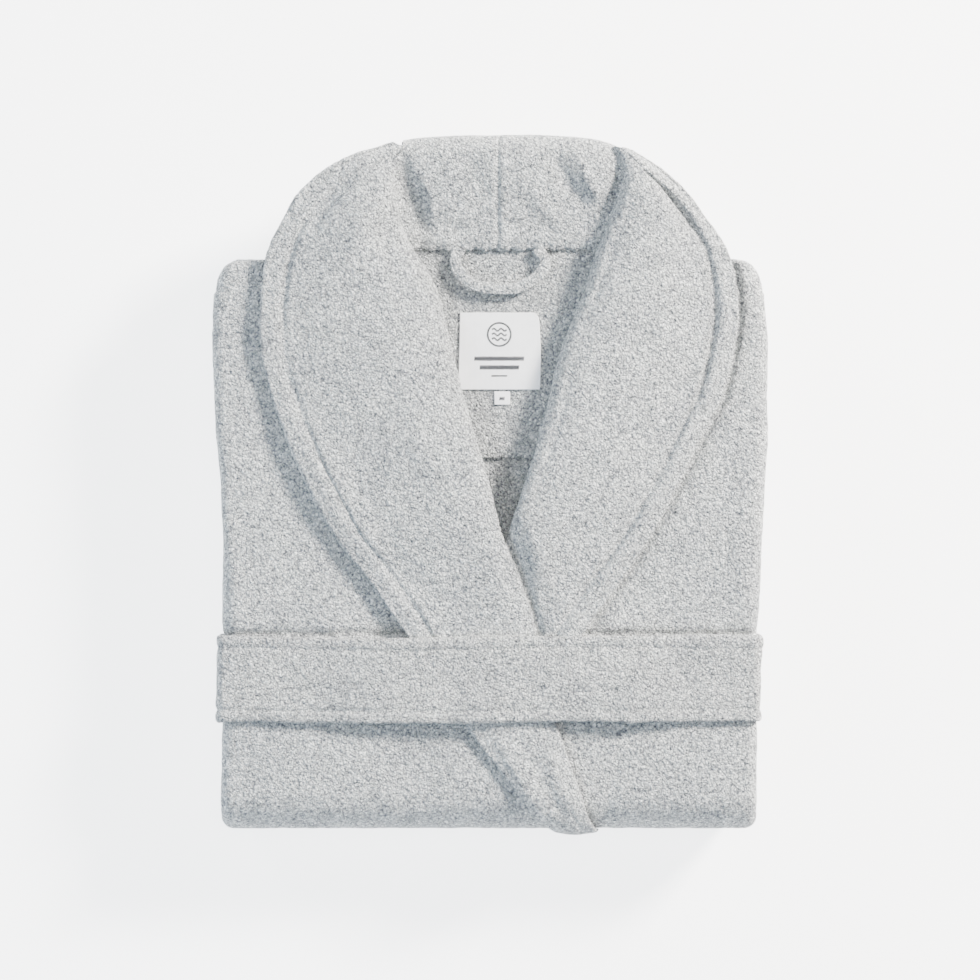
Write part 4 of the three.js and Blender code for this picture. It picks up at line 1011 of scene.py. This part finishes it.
def tag(name, low, high, lean, sag, count, t, hemmed, seed):
    """A woven tag that springs away from the cloth, with a pressed line inside its edges if hemmed."""
    h = (high - low)[1]
    ys = np.concatenate([[0, 0.06, 0.2], np.linspace(0.5, h - 0.5, count), [h - 0.2, h - 0.06, h]])
    gap = LABEL_GAP if hemmed else 0.0
    rings = []
    for y in ys:
        v = y / h
        x0 = low[0] + lean[0] * (1 - v)
        x1 = high[0] + lean[1] * math.sin(math.pi * min(1.0, (1 - v) * 0.8))
        x1 = x1 - lean[2] * max(0.0, v - 0.93) ** 1.5 * 60
        s = stops(x1 - x0, t / 2, count)
        e = max(0.03, min(1.0, min(y, h - y) / (t / 2)))
        thick = t * rounding(s, x1 - x0, t / 2) * math.sqrt(1 - (1 - e) ** 2)
        if hemmed:
            pressed = np.exp(-((np.minimum(s, x1 - x0 - s) - 1.7) / 0.35) ** 2)
            thick = thick - 0.22 * np.maximum(pressed, math.exp(-((min(y, h - y) - 1.7) / 0.35) ** 2))
        u = s / (x1 - x0)
        lift = sag * (np.sin(np.pi * u) * math.sin(math.pi * v) + 0.5 * (u**3) * (1 - v))
        line = np.stack([x0 + s, low[2] + t / 2 + gap + lift], 1)
        ring = ribbon(line, thick)
        rings.append(np.column_stack([ring[:, 0], np.full(len(ring), low[1] + y), ring[:, 1]]))
    return loft(name, rings, tape, rough=0.02, seed=seed)


lifted = LABEL_LOW + [0, 0.8, 0]
label = tag("brand_label_cloth", lifted, LABEL_HIGH, (-1.2, 1.6, 2.2), LABEL_SAG, 60, LABEL_T, True, 131)
torso_piece(label, "brand_label", slot="satin")
tab = tag("size_tab_cloth", TAB_LOW, TAB_HIGH, (0.2, 0.1, 0.1), 0.15, 24, TAB_T, False, 132)
moving_piece(tab, "tab", "size_tab", slot="satin")


def stitches(name, runs, over, thread, seed):
    """Short raised stitches laid side by side along each run. runs hold points and a stitch length."""
    verts, faces = [], []
    rng = np.random.default_rng(seed)
    for points, length in runs:
        p = np.array(points, float)
        seg = np.linalg.norm(np.diff(p, axis=0), axis=1)
        total = seg.sum()
        where = np.arange(thread / 2, total, thread)
        along = np.concatenate([[0], np.cumsum(seg)])
        spots = np.stack([np.interp(where, along, p[:, k]) for k in range(2)], 1)
        tangent = np.gradient(spots, axis=0)
        tangent /= np.maximum(np.linalg.norm(tangent, axis=1), 1e-9)[:, None]
        for c, g in zip(spots, tangent):
            across = np.array([-g[1], g[0]])
            span = length * (1 + 0.06 * rng.standard_normal())
            base = len(verts)
            for f, r in ((-0.5, 0.35), (-0.42, 0.8), (0.0, 1.0), (0.42, 0.8), (0.5, 0.35)):
                centre = c + (across * span + g * 0.12 * span) * f
                z = over(centre)
                for a in np.linspace(0, 2 * np.pi, 7)[:-1]:
                    off = g * math.cos(a) * thread * 0.52 * r
                    verts.append([*(centre + off), z + 0.11 * r * math.sin(a) + 0.02])
            for i in range(4):
                for j in range(6):
                    a, b = base + i * 6 + j, base + i * 6 + (j + 1) % 6
                    faces.append([a, b, b + 6, a + 6])
            faces.append([base + j for j in range(6)][::-1])
            faces.append([base + 24 + j for j in range(6)])
    mesh = bpy.data.meshes.new(name)
    mesh.from_pydata((np.array(verts) * MM).tolist(), [], faces)
    mesh.update()
    mesh.shade_smooth()
    mesh.materials.append(ink)
    return add(name, mesh)


def over_label(c):
    w, h = (LABEL_HIGH - LABEL_LOW)[:2]
    u = np.clip((c[0] - LABEL_LOW[0]) / w, 0, 1)
    v = np.clip((c[1] - LABEL_LOW[1]) / h, 0, 1)
    lift = LABEL_SAG * (np.sin(np.pi * u) * math.sin(math.pi * v) + 0.5 * u**3 * (1 - v))
    return LABEL_LOW[2] + LABEL_T + LABEL_GAP + lift


mid = (LABEL_LOW[:2] + LABEL_HIGH[:2]) / 2
runs = [(arc(0, 2 * np.pi, 40) * 7.4 + mid + [0, 11], 1.35)]
for dy in (3.0, 0.0, -3.0):
    x = np.linspace(-4.6, 4.6, 30)
    runs.append((np.stack([mid[0] + x, mid[1] + 11 + dy + 0.9 * np.sin(x * 1.37)], 1), 1.25))
for dy, half, length in ((-4.4, 16.0, 2.9), (-10.0, 12.5, 2.9), (-15.4, 5.0, 1.1)):
    runs.append((np.array([[mid[0] - half, mid[1] + dy], [mid[0] + half, mid[1] + dy]]), length))
o = stitches("brand_label_stitching", runs, over_label, 0.42, 5)
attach(o, "torso")
tab_mid = (TAB_LOW[:2] + TAB_HIGH[:2]) / 2
bar = np.array([[tab_mid[0] - 1.7, tab_mid[1] - 0.3], [tab_mid[0] + 1.7, tab_mid[1] - 0.3]])
o = stitches("size_tab_stitching", [(bar, 2.2)], lambda c: TAB_LOW[2] + TAB_T + 0.12, 0.42, 6)
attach(o, "tab")

# ---- belt ----
BELT_T = 4.6
r = 6.0
out_x = WRAP_HIGH[0] - 3.2
flat_z = FRONT_TOP + 0.5 + BELT_T / 2
hump_z = BELT_HIGH[2] - BELT_T / 2
c_r = r - BELT_T / 2
foot_z = TORSO_Z + 3.3


def belt_line():
    one = arc(-np.pi / 2, 0, 10) * c_r + [out_x - r, foot_z + c_r]
    up = np.array([[out_x - BELT_T / 2, z] for z in np.linspace(foot_z + c_r, flat_z - c_r, 14)[1:-1]])
    two = arc(0, np.pi / 2, 10) * c_r + [out_x - r, flat_z - c_r]
    start = np.array([[x, foot_z] for x in np.linspace(out_x - r - 5, out_x - r, 4)[:-1]])
    corner = np.concatenate([start, one, up, two])
    x = np.arange(out_x - r - STEP, -(out_x - r), -STEP)
    z = flat_z + (hump_z - flat_z) * eased((x + 112) / 46) * eased((132 - x) / 46)
    left = corner * [-1, 1]
    return np.concatenate([corner, np.stack([x, z], 1), left[::-1]])


line = belt_line()
g = np.gradient(line, axis=0)
g /= np.linalg.norm(g, axis=1)[:, None]
up_dir = np.stack([g[:, 1], -g[:, 0]], 1)
belt_w = BELT_HIGH[1] - BELT_LOW[1]
rings = []
for p, up in zip(line, up_dir):
    drift = 1.1 * math.sin(p[0] / 74.0) + 0.5 * math.sin(p[0] / 27.0 + 1)
    w = belt_w + 0.7 * math.sin(p[0] / 41.0)
    s = stops(w, BELT_T / 2, 52)
    edge_in = np.minimum(s, w - s)
    thick = BELT_T * rounding(s, w, BELT_T / 2)
    thick += 0.7 * np.exp(-((edge_in - 4) / 2.6) ** 2) - 1.9 * np.exp(-((edge_in - 8) / 1.15) ** 2)
    if abs(p[0]) > EDGE - 2:
        thick = thick * 0.82
    y = BELT_LOW[1] + s + drift * 0.4
    top = np.column_stack([p[0] + up[0] * thick / 2, y, p[1] + up[1] * thick / 2])
    under = np.column_stack([p[0] - up[0] * thick / 2, y, p[1] - up[1] * thick / 2])
    rings.append(np.concatenate([top, under[::-1]]))


def belt_shape(p, n):
    move = 1.3 * noise(p, [50, 20, 50], 141) + 0.6 * noise(p, [13, 30, 30], 142)
    inset = np.minimum(p[:, 1] - BELT_LOW[1], BELT_HIGH[1] - p[:, 1])
    move += 0.45 * noise(p, [5, 8, 30], 143) * np.exp(-((inset - 6) / 5) ** 2)
    return move * eased((p[:, 2] - TORSO_Z) / 14)


o = loft("belt_band_cloth", rings, belting, shape=belt_shape, seed=144, rough=0.36)
moving_piece(o, "belt", "belt_front_run", "belt_wrap_right", "belt_wrap_left", slot="terry_belt")
for s, side in SIDES:
    o = soften(f"belt_tail_{side}", belting, 1.2, 3, rough=0.2, seed=145 + s)
    moving_piece(o, "belt", f"belt_tail_{side}", slot="terry_belt")

# ---- floor, light and camera ----
floor_mesh = bpy.data.meshes.new("studio_floor")
corners = ((-15, -15), (15, -15), (15, 15), (-15, 15))
floor_mesh.from_pydata([(x, y, -0.0006) for x, y in corners], [], [[0, 1, 2, 3]])
floor = add("studio_floor", floor_mesh)
white, _, shader = new_material("studio_paper")
shader.inputs["Base Color"].default_value = (0.9, 0.9, 0.9, 1)
shader.inputs["Roughness"].default_value = 0.8
shader.inputs["Emission Color"].default_value = (1, 1, 1, 1)
shader.inputs["Emission Strength"].default_value = 3.4
floor_mesh.materials.append(white)

world = bpy.data.worlds.new("studio")
bpy.context.scene.world = world
world.use_nodes = True
sky = world.node_tree.nodes["Background"].inputs
sky[0].default_value, sky[1].default_value = (0.82, 0.91, 1.0, 1), 0.4


def lamp(name, where, aim, size, power, colour):
    data = bpy.data.lights.new(name, "AREA")
    data.shape, data.size, data.size_y = "RECTANGLE", size[0], size[1]
    data.energy, data.color = power, colour
    obj = add(name, data)
    obj.location = where
    obj.rotation_euler = (Vector(aim) - Vector(where)).to_track_quat("-Z", "Y").to_euler()


lamp("key", (1.75, 1.25, 1.3), (0, 0, 0.05), (0.5, 0.5), 292, (1.0, 0.95, 0.88))
lamp("fill", (-1.1, -0.8, 1.0), (0, 0, 0.05), (1.2, 1.2), 20, (0.58, 0.79, 1.0))
lamp("side", (-1.3, 1.35, 0.95), (0, 0, 0.05), (0.45, 0.45), 22, (0.84, 0.93, 1.0))
lamp("top", (0.1, 0.2, 2.6), (0, 0, 0), (0.8, 0.8), 38, (1.0, 1.0, 1.0))

cam_data = bpy.data.cameras.new("camera")
cam = add("camera", cam_data)
middle = (Vector(cad_low) + Vector(cad_high)) / 2
cam.location = (middle.x + 0.0006, middle.y - 0.0032, 2.28)
cam_data.sensor_width = 36
cam_data.lens = 36 * 2.2 / 0.622
cam_data.clip_start, cam_data.clip_end = 0.05, 20
bpy.context.scene.camera = cam
